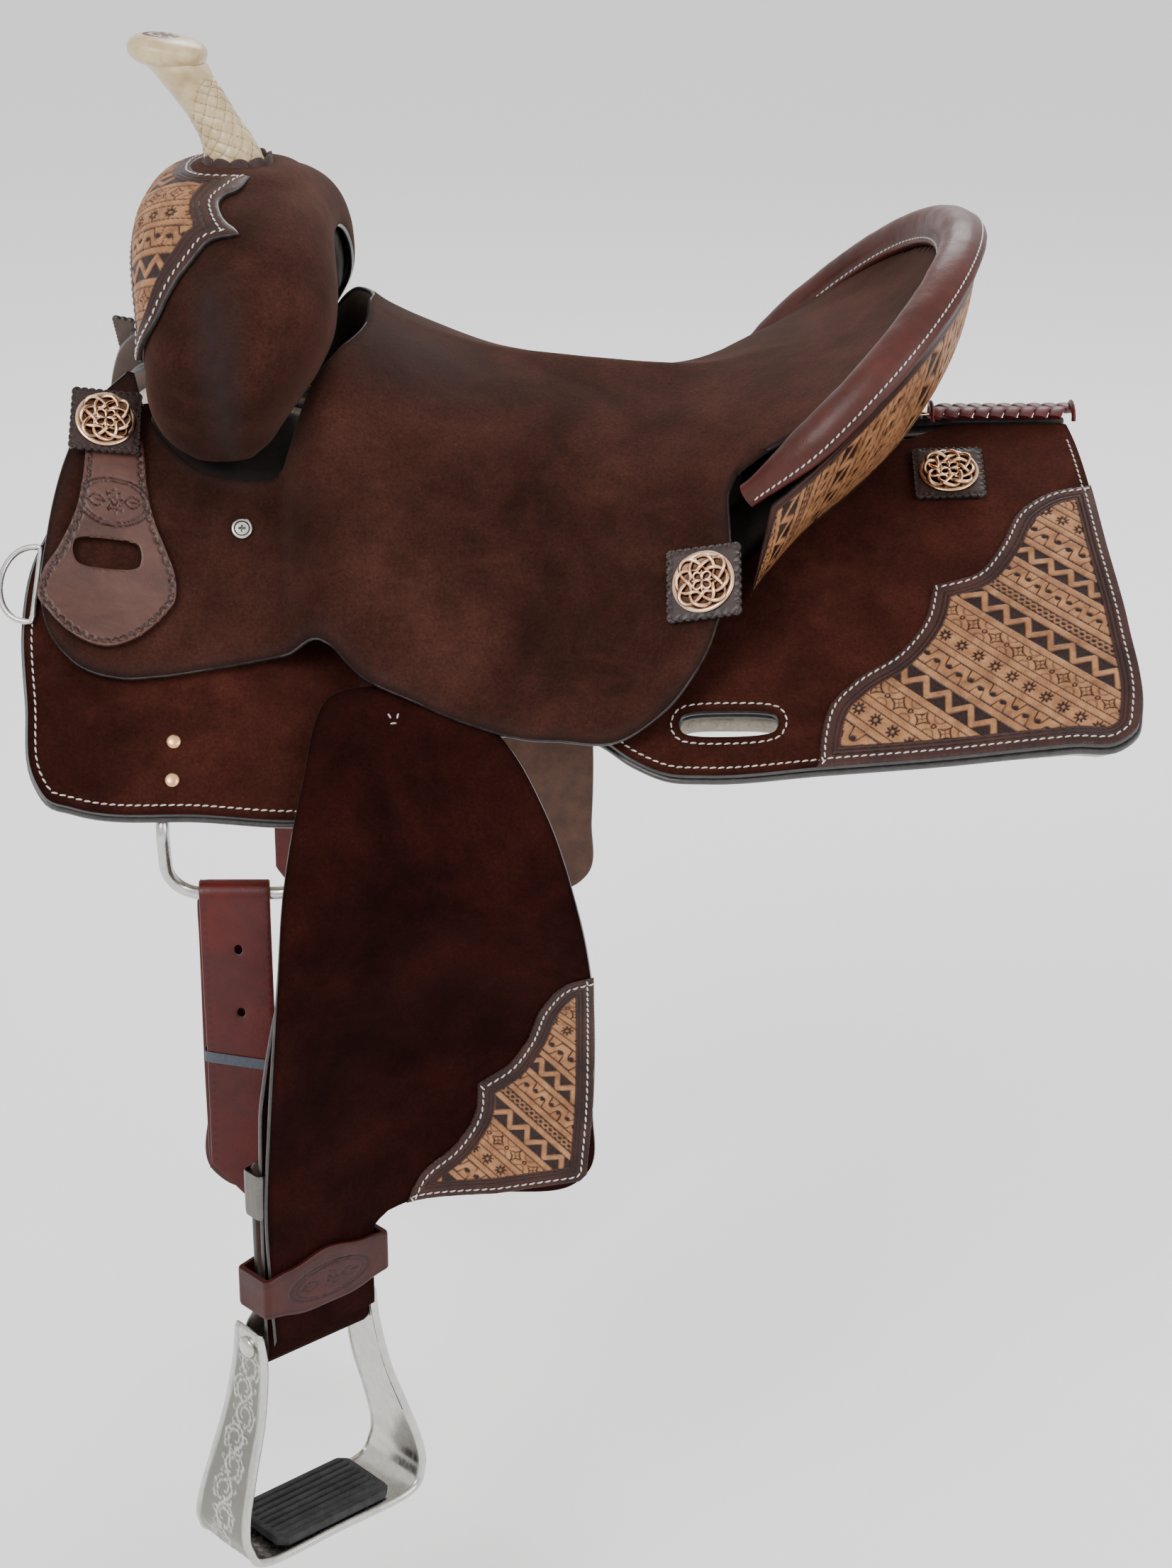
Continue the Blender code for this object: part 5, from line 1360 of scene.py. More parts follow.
# ---------------------------------------------------------------- cantle
CANTLE_REACH, CANTLE_HIGH = 0.250, 0.070


def cantle_place(u, v, h=0.0):
    return cantle_point(np.asarray(u) / CANTLE_REACH, np.asarray(v) / CANTLE_HIGH, h)


def make_cantle():
    r, h = CANTLE_REACH, CANTLE_HIGH
    outline = even_line([(-r, 0), (r, 0), (r, h), (-r, h)], 0.003, closed=True)

    def rows(u, v):
        return v * 1.1 + np.abs(u) * 0.35, np.abs(u) * 0.95 - v * 0.30 + 0.10

    values, relief = tool_values(rows, 0.0075, 1.25, 1, (0.0050,))
    form = sheet_form(outline, cantle_place, -0.0035, 0.0004, 0.0013, soft=0.0012, relief=relief,
                      values=values)
    piece("cantle_carved", form, [TOOLED, EDGE, FLESH], "saddle",
          ["cantle_back"])

    # bound roll over the rim: a dome with a sewn flange on both sides
    count = 300
    tau = np.radians(np.linspace(-107, 107, count))
    fade = 1 - 0.42 * ease(84, 107, np.abs(np.degrees(tau)))
    middle = RIM_RADIUS - 0.0155 + 0.004
    section = [(-0.0170, -0.0040), (-0.0176, -0.0022), (-0.0172, -0.0002), (-0.0160, 0.0008),
               (-0.0140, 0.0013), (-0.0118, 0.0026), (-0.0090, 0.0058), (-0.0050, 0.0090),
               (0.0000, 0.0104), (0.0050, 0.0092), (0.0098, 0.0058), (0.0132, 0.0010),
               (0.0150, -0.0046), (0.0154, -0.0088), (0.0150, -0.0112), (0.0138, -0.0126),
               (0.0112, -0.0128), (0.0080, -0.0118), (0.0000, -0.0095), (-0.0100, -0.0066)]
    line = smooth_line(section, 0.0012)
    rr, tt = np.meshgrid(line[:, 0], tau)
    zz = np.broadcast_to(line[:, 1], rr.shape)
    ff = fade[:, None]
    wrinkle = noise_at(rim(tt, middle + rr, zz).reshape(-1, 3), 55.0, 3).reshape(rr.shape) * 0.0004
    rings = rim(tt, middle + rr * ff, zz * ff + 0.001 + wrinkle)
    # painted shade in the crease at the foot of the roll's dome; also darker along the outer stitch row
    gap = np.minimum(np.abs(rr + 0.0129), np.abs(rr - 0.0152) + np.abs(zz + 0.0070))
    form = skin_form(rings, dark=bump(gap, 0.0, 0.0016) * 0.55 * (zz > -0.010))
    piece("cantle_binding", form, [SMOOTH], "saddle", ["cantle_roll"], crease=50)

    def on_roll(at, lift):
        k = nearest(line, at)
        out = np.array(at) - np.array((0.0, -0.004))
        out = out / np.linalg.norm(out)
        c = line[k] + out * lift
        return rim(tau, middle + c[0] * fade, c[1] * fade + 0.001)

    rows = Form()
    for at in ((-0.0150, 0.0011), (0.0152, -0.0066)):
        path = on_roll(at, 0.0)
        high = on_roll(at, 0.001)
        run = np.concatenate([[0], np.cumsum(np.linalg.norm(np.diff(path, axis=0), axis=1))])

        def place(u, v, h=0.0, path=path, high=high, run=run):
            p = np.stack([np.interp(u, run, path[:, k]) for k in range(3)], -1)
            q = np.stack([np.interp(u, run, high[:, k]) for k in range(3)], -1)
            return p + unit(q - p) * np.asarray(h)[..., None] if np.ndim(h) else p + unit(q - p) * h

        ends = np.linspace(0.004, run[-1] - 0.004, 400)
        stitch_form(np.stack([ends, np.zeros_like(ends)], 1), place, rows, pitch=0.0046, lift=0.0002)
    piece("cantle_thread", rows, [THREAD_WHITE], "saddle")


# ---------------------------------------------------------------- conchos, keepers, screws
def frame_on(height, side, x, a):
    place = on_field(height, side)
    p = place(x, a, 0.0)
    n = unit(place(x, a, 0.01) - p)
    down = place(x, a + 0.004, 0.0) - p
    down = unit(down - n * (down @ n))
    fore = np.cross(down, n) * side
    return p, n, down, fore


def flat_place(p, fore, down, n):
    def place(u, v, h=0.0):
        u, v, h = np.broadcast_arrays(np.asarray(u, float), v, h)
        return p + fore * u[..., None] + down * v[..., None] + n * h[..., None]
    return place


def circle_line(rx, ry, count=48, u=0.0, v=0.0, turn=0.0):
    w = np.linspace(0, 2 * np.pi, count, endpoint=False)
    x, y = rx * np.cos(w), ry * np.sin(w)
    c, s = math.cos(turn), math.sin(turn)
    return np.stack([u + x * c - y * s, v + x * s + y * c], 1)


def flower_mark(u, v, size):
    """Generic eight-petal stamp: 1 on its lines."""
    r, w = np.hypot(u, v), np.arctan2(v, u)
    petal = size * (0.70 + 0.30 * np.cos(8 * w))
    inner = size * 0.30
    return np.maximum(bump(r - petal, 0, 0.0007), bump(r - inner, 0, 0.0006))


def oval_stamp(u, v, rx, ry):
    """Double oval with a flower and two leaf sprays, all generic: 1 on its lines."""
    r = np.hypot(u / rx, v / ry)
    line = np.maximum(bump((r - 1) * ry, 0, 0.0007), bump((r - 0.86) * ry, 0, 0.0005) * 0.8)
    mark = flower_mark(u, v, ry * 0.50)
    du = np.abs(u) - rx * 0.50
    leaf = np.abs(v) - ry * 0.24 * np.cos(np.clip(du / (rx * 0.22), -1, 1) * np.pi / 2)
    leaf = np.where(np.abs(du) < rx * 0.22, bump(leaf, 0, 0.0006), 0)
    vein = np.where(np.abs(du) < rx * 0.24, bump(v, 0, 0.0005), 0) * 0.8
    return np.maximum(np.maximum(line, mark), np.maximum(leaf, vein))


def make_concho(name, height, side, x, a, lift, size, half):
    p, n, down, fore = frame_on(height, side, x, a)
    place = flat_place(p, fore, down, n)
    lobes, pitch = 9, 2 * half / 9
    s = np.linspace(-half, half, lobes * 9, endpoint=False)
    swing = half + 0.0011 * np.abs(np.sin(np.pi * (s + half) / pitch)) ** 0.7
    line = np.concatenate([np.stack([s, -swing], 1), np.stack([swing, s], 1),
                           np.stack([-s, swing], 1), np.stack([-swing, -s], 1)])

    def spots(u, v):
        e = np.maximum(np.abs(u), np.abs(v))
        w = np.where(np.abs(u) > np.abs(v), v, u)
        w = (w + half) / pitch
        w = (w - np.floor(w) - 0.5) * pitch
        return np.hypot(e - (half - 0.0007), w)

    def relief(u, v, gap, run):
        d = spots(u, v)
        return -0.0010 * bump(d, 0, 0.0010) - 0.0004 * bump(d, 0.0016, 0.0006)

    def values(u, v, gap, run):
        d = spots(u, v)
        e = np.maximum(np.abs(u), np.abs(v))
        return {"dark": np.clip(bump(d, 0, 0.0012) + 0.7 * bump(d, 0.0017, 0.0006)
                                + 0.6 * bump(e, half - 0.0034, 0.0008), 0, 1)}

    rosette = sheet_form(line, place, lift, lift + 0.0028, 0.0011, soft=0.0006, relief=relief,
                         values=values)
    piece("rosette_leather_" + name, rosette, [ROSETTE, EDGE, FLESH], "saddle",
          ["rosette_" + name])
    base = lift + 0.0030
    form = Form()
    profile = [(0.90, 0.0000), (0.97, 0.0003), (1.0, 0.0009), (0.97, 0.0014), (0.90, 0.0015),
               (0.84, 0.0011), (0.50, 0.0011), (0.02, 0.0012)]
    tone = np.repeat([0.3, 0.1, 0.0, 0.0, 0.5, 1.0, 1.0, 1.0], 64).reshape(8, 64)
    rings = lathe_rings(p + n * base, n, [(r * size, h) for r, h in profile], 64, down)
    skin_form(rings, form, dark=tone)
    # interlaced border of eight loops: one closed strand, three turns
    theta = np.linspace(0, 6 * np.pi, 560, endpoint=False)
    wave = 8 * theta / 3
    square = 1 + 0.055 * np.cos(4 * theta + np.pi)
    r = (0.0103 + 0.0039 * np.cos(wave)) * square * size / 0.0165
    rise = 0.0026 + 0.0010 * np.sin(2 * wave)
    path = place(r * np.cos(theta), r * np.sin(theta), base + rise)
    dark = np.repeat(0.75 * bump(rise, 0.0016, 0.0007), 10).reshape(-1, 10)
    rod_form(path, 0.00125, form, closed=True, count=10, flat=0.9, up=n, dark=dark)
    # quatrefoil with a cross of leaves
    theta = np.linspace(0, 2 * np.pi, 200, endpoint=False)
    r = 0.0022 + 0.0046 * np.abs(np.sin(2 * theta)) ** 0.8
    path = place(r * np.cos(theta), r * np.sin(theta), base + 0.0026)
    rod_form(path, 0.0008, form, closed=True, count=8, up=n, dark=np.zeros((200, 8)))
    for k in range(4):
        w = k * np.pi / 2
        t = np.linspace(0.0004, 0.0066, 16)
        path = place(t * np.cos(w), t * np.sin(w), base + 0.0028)
        wide = 0.0002 + 0.0010 * np.sin(np.pi * np.clip(t / 0.0068, 0, 1))
        rod_form(path, wide, form, count=8, up=n, dark=np.zeros((16, 8)))
    piece("concho_knot_" + name, form, [COPPER], "saddle", ["concho_" + name],
          crease=50)


def lathe_rings(centre, axis, profile, count, spin):
    axis = unit(np.array(axis, float))
    x = unit(spin - axis * (spin @ axis))
    y = np.cross(axis, x)
    w = 2 * np.pi * np.arange(count) / count
    circle = x[None] * np.cos(w)[:, None] + y[None] * np.sin(w)[:, None]
    return np.stack([np.array(centre, float) + circle * r + axis * h for r, h in profile])


def make_trim(word, side):
    make_concho("front_" + word, top_height, side, -0.2965, 0.0960, 0.0085, 0.0184, 0.0206)
    make_concho("cantle_" + word, top_height, side, 0.0720, 0.1760, 0.0020, 0.0198, 0.0226)
    make_concho("rear_" + word, skirt_height, side, 0.2290, 0.0560, 0.0020, 0.0188, 0.0214)
    place = on_field(top_height, side)
    stretch = np.array((1.0, 1.40))
    edge = smooth_line(KEEPER_EDGE, 0.0025)
    slot = soft_corners(KEEPER_SLOT)
    centre = np.array((-0.2880, 0.1285)) * stretch
    turn = math.radians(-6)

    def mark(u, v):
        du, dv = u - centre[0], v - centre[1]
        c, s = math.cos(turn), math.sin(turn)
        return oval_stamp(du * c + dv * s, dv * c - du * s, 0.0220, 0.0118)

    def border(gap, run):
        pitch = 0.0054
        w = (run / pitch - np.floor(run / pitch) - 0.5) * pitch
        ring = np.hypot(w, gap - 0.0018)
        arc = bump(ring, 0.0025, 0.0009) * (gap > 0.0017)
        inner = bump(ring, 0.0014, 0.0006) * (gap > 0.0017)
        return np.maximum(arc, inner * 0.8)

    def relief(u, v, gap, run):
        return -0.0009 * np.maximum(mark(u, v), border(gap, run))

    def values(u, v, gap, run):
        return {"dark": np.clip(0.85 * mark(u, v) + 0.85 * border(gap, run), 0, 1)}

    form = sheet_form(edge, place, 0.0030, 0.0062, 0.00085, holes=(slot,), stretch=stretch,
                      soft=0.0010, relief=relief, values=values)
    piece("keeper_leather_" + word, form, [KEEPER, ROSETTE, FLESH], "latigo_keeper_" + word,
          ["latigo_keeper_" + word])

    # screw in a cup washer
    p, n, down, fore = frame_on(top_height, side, -0.2107, 0.1290)
    place = flat_place(p, fore, down, n)
    form = Form()
    profile = [(0.0066, 0.0002), (0.0068, 0.0010), (0.0065, 0.0019), (0.0058, 0.0025), (0.0050, 0.0024),
               (0.0046, 0.0016), (0.0044, 0.0008)]
    rings = lathe_rings(p, n, profile, 48, down)
    # painted shade on the inner wall of the cup washer
    skin_form(rings, form, ends=False, dark=np.repeat([0, 0, 0, 0, 0.2, 0.9, 1.0], 48))

    def cross(u, v, gap, run):
        arm = np.minimum(np.abs(u), np.abs(v)) + np.maximum(np.abs(u), np.abs(v)) * 0.12
        deep = (1 - ease(0.0005, 0.0008, arm)) * (np.hypot(u, v) < 0.0022)
        return -0.0014 * deep - 10.0 * (u * u + v * v)

    def shade(u, v, gap, run):
        deep = cross(u, v, gap, run) + 10.0 * (u * u + v * v)
        return {"dark": np.clip(-deep * 800, 0, 1)}

    sheet_form(circle_line(0.0043, 0.0043), place, 0.0004, 0.0019, 0.00032, soft=0.0005,
               relief=cross, values=shade, form=form, slots=(0, 0, 0))
    piece("screw_and_washer_" + word, form, [STEEL], "saddle",
          ["jockey_screw_" + word], crease=50)


# ---------------------------------------------------------------- dees, latigo, billet
def make_dees(word, side):
    place = on_field(skirt_height, side)
    path = []
    for turn in (-1, 1):
        w = np.linspace(0, np.pi / 2, 12)
        w = w if turn < 0 else w[::-1]
        x = DEE_X + turn * (DEE_HALF - DEE_CORNER + DEE_CORNER * np.cos(w))
        z = DEE_LOW + DEE_CORNER - DEE_CORNER * np.sin(w)
        part = (z - DEE_LOW) / (DEE_TOP - DEE_LOW)
        y = side * (DEE_LOW_OUT + (DEE_OUT - DEE_LOW_OUT) * part)
        path.append(np.stack([x, y, z], 1))
    deep = -SKIRT_LEATHER - AIR - DEE_BAR
    legs = []
    for x in (DEE_X - DEE_HALF, DEE_X + DEE_HALF):
        upper = place(np.full(6, x), np.linspace(0.206, 0.226, 6), deep)
        legs.append(np.concatenate([upper, [[x, side * DEE_OUT, DEE_TOP]]]))
    whole = np.concatenate([legs[0], path[0], path[1], legs[1][::-1]])
    whole = even_line(whole, 0.0035, closed=True)
    form = rod_form(whole, DEE_BAR, closed=True, count=20, up=(0, side, 0),
                    dark=np.zeros((len(whole), 20)))
    piece("rigging_ring_" + word, form, [STEEL], "saddle", ["rigging_dee_" + word])

    a0 = place(-0.3325, 0.139, 0.0030)
    a1 = place(-0.3355, 0.172, 0.0030)
    mid = (a0 + a1) / 2
    half = np.linalg.norm(a1 - a0) / 2
    bar = unit(a1 - a0)
    fwd = np.array((-1.0, 0.0, 0.0))
    fwd = unit(fwd - bar * (fwd @ bar))
    w = np.linspace(0, np.pi, 40)
    loop = (mid - bar * (half * np.cos(w))[:, None]
            + fwd * (0.0215 * np.sin(w) ** 0.8 + 0.001)[:, None])
    back = mid - bar * (half * np.linspace(-1, 1, 14)[1:-1])[:, None]
    whole = even_line(np.concatenate([loop, back]), 0.0016, closed=True)
    form = rod_form(whole, 0.0019, closed=True, count=16, dark=np.zeros((len(whole), 16)))
    piece("breast_ring_" + word, form, [STEEL], "breast_dee_" + word,
          ["breast_dee_" + word])


def make_latigo(word, side):
    out = np.array((0.0, side, 0.0))
    across = np.array((1.0, 0.0, 0.0))
    r = DEE_BAR + 0.0010 + 0.00175
    near = side < 0
    body = "latigo_left" if near else "off_billet_right"
    front_end, back_end = (-0.428, -0.395) if near else (-0.400, -0.250)
    x, y = DEE_X - 0.003, DEE_LOW_OUT
    stations = []
    squeeze = 0.0038 if near else 0.0
    for z in (front_end, -0.372, -0.345, -0.318, -0.290, -0.262, -0.235, DEE_LOW - 0.008):
        pull = squeeze * bump(z, -0.318, 0.075)
        stations.append((np.array((x, side * (y + r - pull), z)), across, out))
    for k in range(13):
        w = math.pi * k / 12
        d = np.array((0, side * math.cos(w), math.sin(w)))
        stations.append((np.array((x - 0.0012 * k / 12, side * y, DEE_LOW)) + d * r, across, d))
    for z in (DEE_LOW - 0.008, -0.232, -0.262, -0.290, -0.318, -0.345):
        if z >= back_end - 1e-6:
            pull = squeeze * bump(z, -0.318, 0.075)
            stations.append((np.array((x - 0.0030, side * (y - r + pull), z)), across, -out))
    stations.append((np.array((x - 0.0030, side * (y - r), back_end)), across, -out))
    place, length = strap_field(stations)
    h = LATIGO_WIDTH / 2
    tip = 0.044 if near else 0.020
    if near:
        line = [(h, 0.003), (h - 0.004, 0.0), (-h, tip), (-h, length), (h, length)]
    else:
        line = [(h * 0.35, 0.0), (h, tip), (h, length), (-h, length), (-h, tip), (-h * 0.35, 0.0)]
    line = even_line(line, 0.004, closed=True)
    spots = (-0.2365, -0.2800) if near else (-0.255, -0.290, -0.325, -0.360)
    holes = [circle_line(0.0026, 0.0036, 20, 0.001, z - front_end) for z in spots]

    def stamped(u, v, gap, run):
        d = np.full_like(u, 9.0)
        for z in spots:
            d = np.minimum(d, np.hypot(u - 0.001, (v - (z - front_end)) * 0.75))
        return -0.0004 * bump(d, 0.0030, 0.0012) - 0.0003 * bump(gap, 0.0030, 0.0008)

    def tone(u, v, gap, run):
        return {"dark": 0.35 * bump(gap, 0.0030, 0.0008)}

    form = sheet_form(line, place, -0.00175, 0.00175, 0.0030, holes=holes, soft=0.0009,
                      relief=stamped, values=tone)
    name = "latigo_strap_" if near else "billet_strap_"
    piece(name + word, form, [BURGUNDY, FLESH, BURGUNDY], body, [body])
    if not near:
        return
    # tape that ties the two runs together, slightly slanted
    rows = []
    w = np.linspace(0, 2 * np.pi, 64, endpoint=False)
    c, s = np.cos(w), np.sin(w)
    wide = (h + 0.0008) * np.sign(c) * np.abs(c) ** 0.16
    deep = (r - squeeze + 0.00175 + 0.0007) * np.sign(s) * np.abs(s) ** 0.35
    for z, grow in ((-0.0036, 0.0), (-0.0034, 0.0003), (-0.0012, 0.0004), (0.0012, 0.0004),
                    (0.0034, 0.0003), (0.0036, 0.0)):
        at = -0.3140 - 0.16 * wide + z
        lie = side * (y + deep + np.sign(s) * grow)
        rows.append(np.stack([x - 0.0006 + wide * (1 + grow * 40), lie, at], 1))
    form = skin_form(np.stack(rows), ends=False)
    piece("tie_tape_" + word, form, [TAPE], body)
    # short tan tab at the end of the inner layer
    p = np.array((x - 0.010, side * (y - r), -0.386))
    tab = flat_place(p, np.array((1.0, 0, 0)), np.array((0, 0, -1.0)), out)
    line = smooth_line([(-0.012, -0.045), (-0.0115, 0.012), (0.000, 0.021), (0.022, 0.019),
                        (0.030, 0.011), (0.030, -0.045)], 0.003, sharp=(0, 5))
    form = sheet_form(line, tab, -0.0016, 0.0016, 0.0035, soft=0.0008)
    piece("latigo_tail_" + word, form, [SMOOTH, FLESH, FLESH], body)


# ---------------------------------------------------------------- stirrup leathers and fenders
def local(side):
    c, s = math.cos(FENDER_TWIST), math.sin(FENDER_TWIST)
    across, out = np.array((c, -side * s, 0.0)), np.array((s, side * c, 0.0))
    mid = np.array((float(table(LEATHER_LINE, BOLT_Z)), side * float(table(FENDER_FALL, BOLT_Z)),
                    BOLT_Z))
    return across, out, mid - out * BOLT_BEHIND


def rectangle(half, first, last, step=0.004, corner=0.0):
    q = corner
    line = [(-half + q, first), (half - q, first), (half, first + q), (half, last - q), (half - q, last),
            (-half + q, last), (-half, last - q), (-half, first + q)]
    if not q:
        line = [(-half, first), (half, first), (half, last), (-half, last)]
    return even_line(line, step, closed=True)


def make_leathers(word, side):
    place = on_field(skirt_height, side)
    x, middle, turn_a = -0.100, (0.0142 + 0.0028) / 2, 0.0462

    def tangent(a, h):
        return unit(place(x + 0.02, a, h) - place(x - 0.02, a, h))

    def station(a, h, sign):
        p = place(x, a, h)
        return p, tangent(a, h), unit(place(x, a, h + 0.01) - p) * sign

    upper = ((0.185, 0.0076), (0.165, 0.0078), (0.145, 0.0088), (0.128, 0.0120), (0.112, 0.0140),
             (0.085, 0.0142), (0.060, 0.0142))
    stations = [station(a, h, 1) for a, h in upper]
    centre = place(x, turn_a, middle)
    up = unit(place(x, turn_a, 0.02) - place(x, turn_a, 0.0))
    inward = unit(place(x, turn_a - 0.004, middle) - centre)
    for k in range(9):
        w = math.pi / 2 - math.pi * k / 8
        d = up * math.sin(w) + inward * math.cos(w)
        stations.append((centre + d * (0.0142 - middle), tangent(turn_a, middle), d))
    stations += [station(a, 0.0028, -1) for a in (0.060, 0.085, 0.112, 0.128, 0.145, 0.165, 0.185)]
    loop, length = strap_field(stations, smooth=False)
    form = sheet_form(rectangle(0.038, 0, length), loop, -0.0016, 0.0016, 0.006, soft=0.0009)
    piece("bar_strap_" + word, form, LEATHER_SET, "saddle",
          ["bar_loop_" + word])

    fplace = fender_place(side)

    def hang(z, h):
        c = float(table(LEATHER_LINE, z))
        p = fplace(c, z, h)
        return p, unit(fplace(c + 0.004, z, h) - fplace(c - 0.004, z, h)), unit(fplace(c, z, h + 0.01) - p)

    root, length = strap_field([hang(z, -0.0082) for z in (-0.1010, -0.109, -0.117)])
    form = sheet_form(rectangle(0.018, 0, length), root, -0.0015, 0.0015, 0.004, soft=0.0008)
    piece("root_strap_" + word, form, LEATHER_SET, "leather_root_" + word,
          ["leather_root_" + word])

    # fender, cut to its outline on the curved fender surface
    edge = smooth_line(FENDER_EDGE, 0.004, sharp=(13, 17, 18))

    def waves(u, v, gap, run):
        return 0.0006 * noise_at(np.stack([u, v, np.zeros_like(u)], 1), 18.0, 2, 4.0 * side)

    form = sheet_form(edge, fplace, -LEATHER / 2, LEATHER / 2, 0.0050, soft=0.0015, relief=waves)
    hinge = fplace(-0.115, -0.098, 0.0)
    lower = fplace(-0.115, -0.128, 0.0)
    piece("fender_leather_" + word, form, [ROUGH_DARK, EDGE, FLESH],
          ("leather_root_" + word, "fender_" + word, hinge, lower),
          ["fender_" + word])
    patch = smooth_line(FENDER_PATCH, 0.003, sharp=(0, 5, 9, 10, 11, 12))

    def diagonal(u, v):
        return (u - v) / math.sqrt(2), -0.1735 - (u + v) / math.sqrt(2)

    values, relief = tool_values(diagonal, 0.0112, 1.05, 0, (0.0075, 0.0096))
    form = sheet_form(patch, fplace, 0.0020, 0.0038, 0.00075, soft=0.0009, relief=relief,
                      values=values, open_back=True)
    piece("fender_corner_" + word, form, [TOOLED, EDGE, FLESH], "fender_" + word)
    rows = stitch_form(row_in(patch, 0.0040), fplace, lift=0.0042)
    mark = [(-0.1193, -0.0925), (-0.1157, -0.0985), (-0.1122, -0.0925)]
    stitch_form(even_line(mark, 0.002), fplace, rows, lift=0.0022)
    piece("fender_thread_" + word, rows, [THREAD_WHITE], "fender_" + word)

    # stirrup leather down behind the fender, round the bolt and up to the buckle
    stations = [hang(z, -0.0075) for z in (-0.142, -0.165, -0.19, -0.215, -0.24, -0.265, -0.29,
                                           -0.315, -0.39, -0.46)]
    across, out, bolt = local(side)
    up = np.array((0.0, 0.0, 1.0))
    for k in range(13):
        w = -math.pi * k / 12
        d = out * math.cos(w) + up * math.sin(w)
        stations.append((bolt + d * 0.0115, across, d))
    for z, h in ((-0.462, -0.0255), (-0.450, -0.0180), (-0.440, -0.0155), (-0.395, -0.0155),
                 (-0.347, -0.0155)):
        stations.append((bolt + out * (BOLT_BEHIND + h) + up * (z - BOLT_Z), across, -out))
    strap, length = strap_field(stations)
    form = sheet_form(rectangle(0.040, 0, length, 0.004, 0.003), strap, -0.002, 0.002, 0.0055,
                      soft=0.0013)
    piece("hanging_leather_" + word, form, [ROUGH_DARK, EDGE, FLESH], "fender_" + word,
          ["stirrup_leather_" + word])

    def at(u, h, z):
        u, h, z = np.broadcast_arrays(np.asarray(u, float), h, z)
        return (bolt + across * u[..., None] + out * (BOLT_BEHIND + h)[..., None]
                + up * (z - BOLT_Z)[..., None])

    # buckle plate with two studs and its sliding sleeve
    def on_plate(u, v, h=0.0):
        return at(u, -0.0115 + np.asarray(h), v)

    form = sheet_form(rectangle(0.036, -0.386, -0.348, 0.003, 0.004), on_plate, -0.001, 0.001, 0.004,
                      soft=0.0005, slots=(0, 0, 0))
    for u in (-0.018, 0.018):
        lathe_form(at(u, -0.0125, -0.378), out, [(0.0034, 0.0), (0.0036, -0.0007), (0.0028, -0.0016),
                                                (0.0010, -0.0021)], form, count=20)
    piece("buckle_pins_" + word, form, [STEEL], "fender_" + word,
          ["buckle_plate_" + word])

    def band(half, h_out, h_in, wall, low, top, rows, hump=None):
        """Closed band round the leathers: two skins joined at the edges; rows up its height."""
        q = 0.0035
        skins = []
        for inset_by in (0.0, wall):
            a, o, i = half - inset_by, h_out - inset_by, h_in + inset_by
            c = max(q - inset_by, 0.0006)
            line = []
            for cx, cy, first in ((a - c, o - c, 0), (-a + c, o - c, 90), (-a + c, i + c, 180),
                                  (a - c, i + c, 270)):
                w = np.radians(np.linspace(first, first + 90, 8))
                line.append(np.stack([cx + c * np.cos(w), cy + c * np.sin(w)], 1))
            skins.append(even_line(np.concatenate(line), 0.0016, closed=True))
        n = len(skins[0])
        keys = np.linspace(0, 1, len(skins[1]) + 1)
        loop = np.concatenate([skins[1], skins[1][:1]])
        fit = np.linspace(0, 1, n, endpoint=False)
        skins[1] = np.stack([np.interp(fit, keys, loop[:, k]) for k in range(2)], 1)
        rings, flat = [], []
        for skin, order in ((skins[0], np.linspace(0, 1, rows)), (skins[1], np.linspace(1, 0, rows))):
            for f in order:
                u = skin[:, 0]
                lo, hi = low(u), top(u)
                z = lo + (hi - lo) * f
                outer = skin is skins[0]
                edge = np.minimum((z - lo), (hi - z))
                h = skin[:, 1]
                if hump is not None and outer:
                    front = skin[:, 1] > h_out - 0.001
                    h = h + np.where(front, hump(u, z), 0.0)
                    flat.append(np.where(front, -hump(u, z) * 1500, 0.0)
                                + 0.7 * bump(edge, 0.0028, 0.0008))
                else:
                    flat.append(np.zeros(n))
                soft = 0.0008 * bump(edge, 0, 0.0012) * (1 if outer else -0.4)
                centre_h = (h_out + h_in) / 2
                h = h - np.sign(h - centre_h) * soft
                rings.append(at(u, h, z))
        return skin_form(np.stack(rings), around=True, dark=np.clip(np.stack(flat), 0, 1))

    form = band(0.0435, -0.0026, -0.0206, 0.0012, lambda u: np.full_like(u, -0.381),
                lambda u: np.full_like(u, -0.351), 14)
    piece("sliding_sleeve_" + word, form, [DARK_STEEL], "buckle_sleeve_" + word,
          ["buckle_sleeve_" + word])

    def low(u):
        return -0.4455 - 0.0060 * bump(u, 0.0, 0.036) + 0.0016 * np.cos(u / 0.048 * 2 * np.pi)

    def top(u):
        return -0.4185 + 0.0052 * bump(u, 0.0, 0.030) + 0.0022 * (1 - bump(np.abs(u), 0.048, 0.016))

    def stamp(u, z):
        return -0.0006 * oval_stamp(u * side, z + 0.4325, 0.0300, 0.0112)

    form = band(0.0480, 0.0066, -0.0245, 0.0034, low, top, 44, stamp)
    piece("hobble_leather_" + word, form, [HOBBLE], "fender_" + word,
          ["hobble_strap_" + word], crease=50)


# ---------------------------------------------------------------- stirrups
ARM = [(0.0440, 0.013), (0.0440, -0.010), (0.0500, -0.045), (0.0610, -0.080), (0.0690, -0.108),
       (0.0690, -0.126), (0.0560, -0.1395), (0.0, -0.1400)]
ARM_DEEP = [(0.0, 0.013), (0.12, 0.016), (0.35, 0.021), (0.60, 0.0265), (0.80, 0.0290), (1.0, 0.0290)]


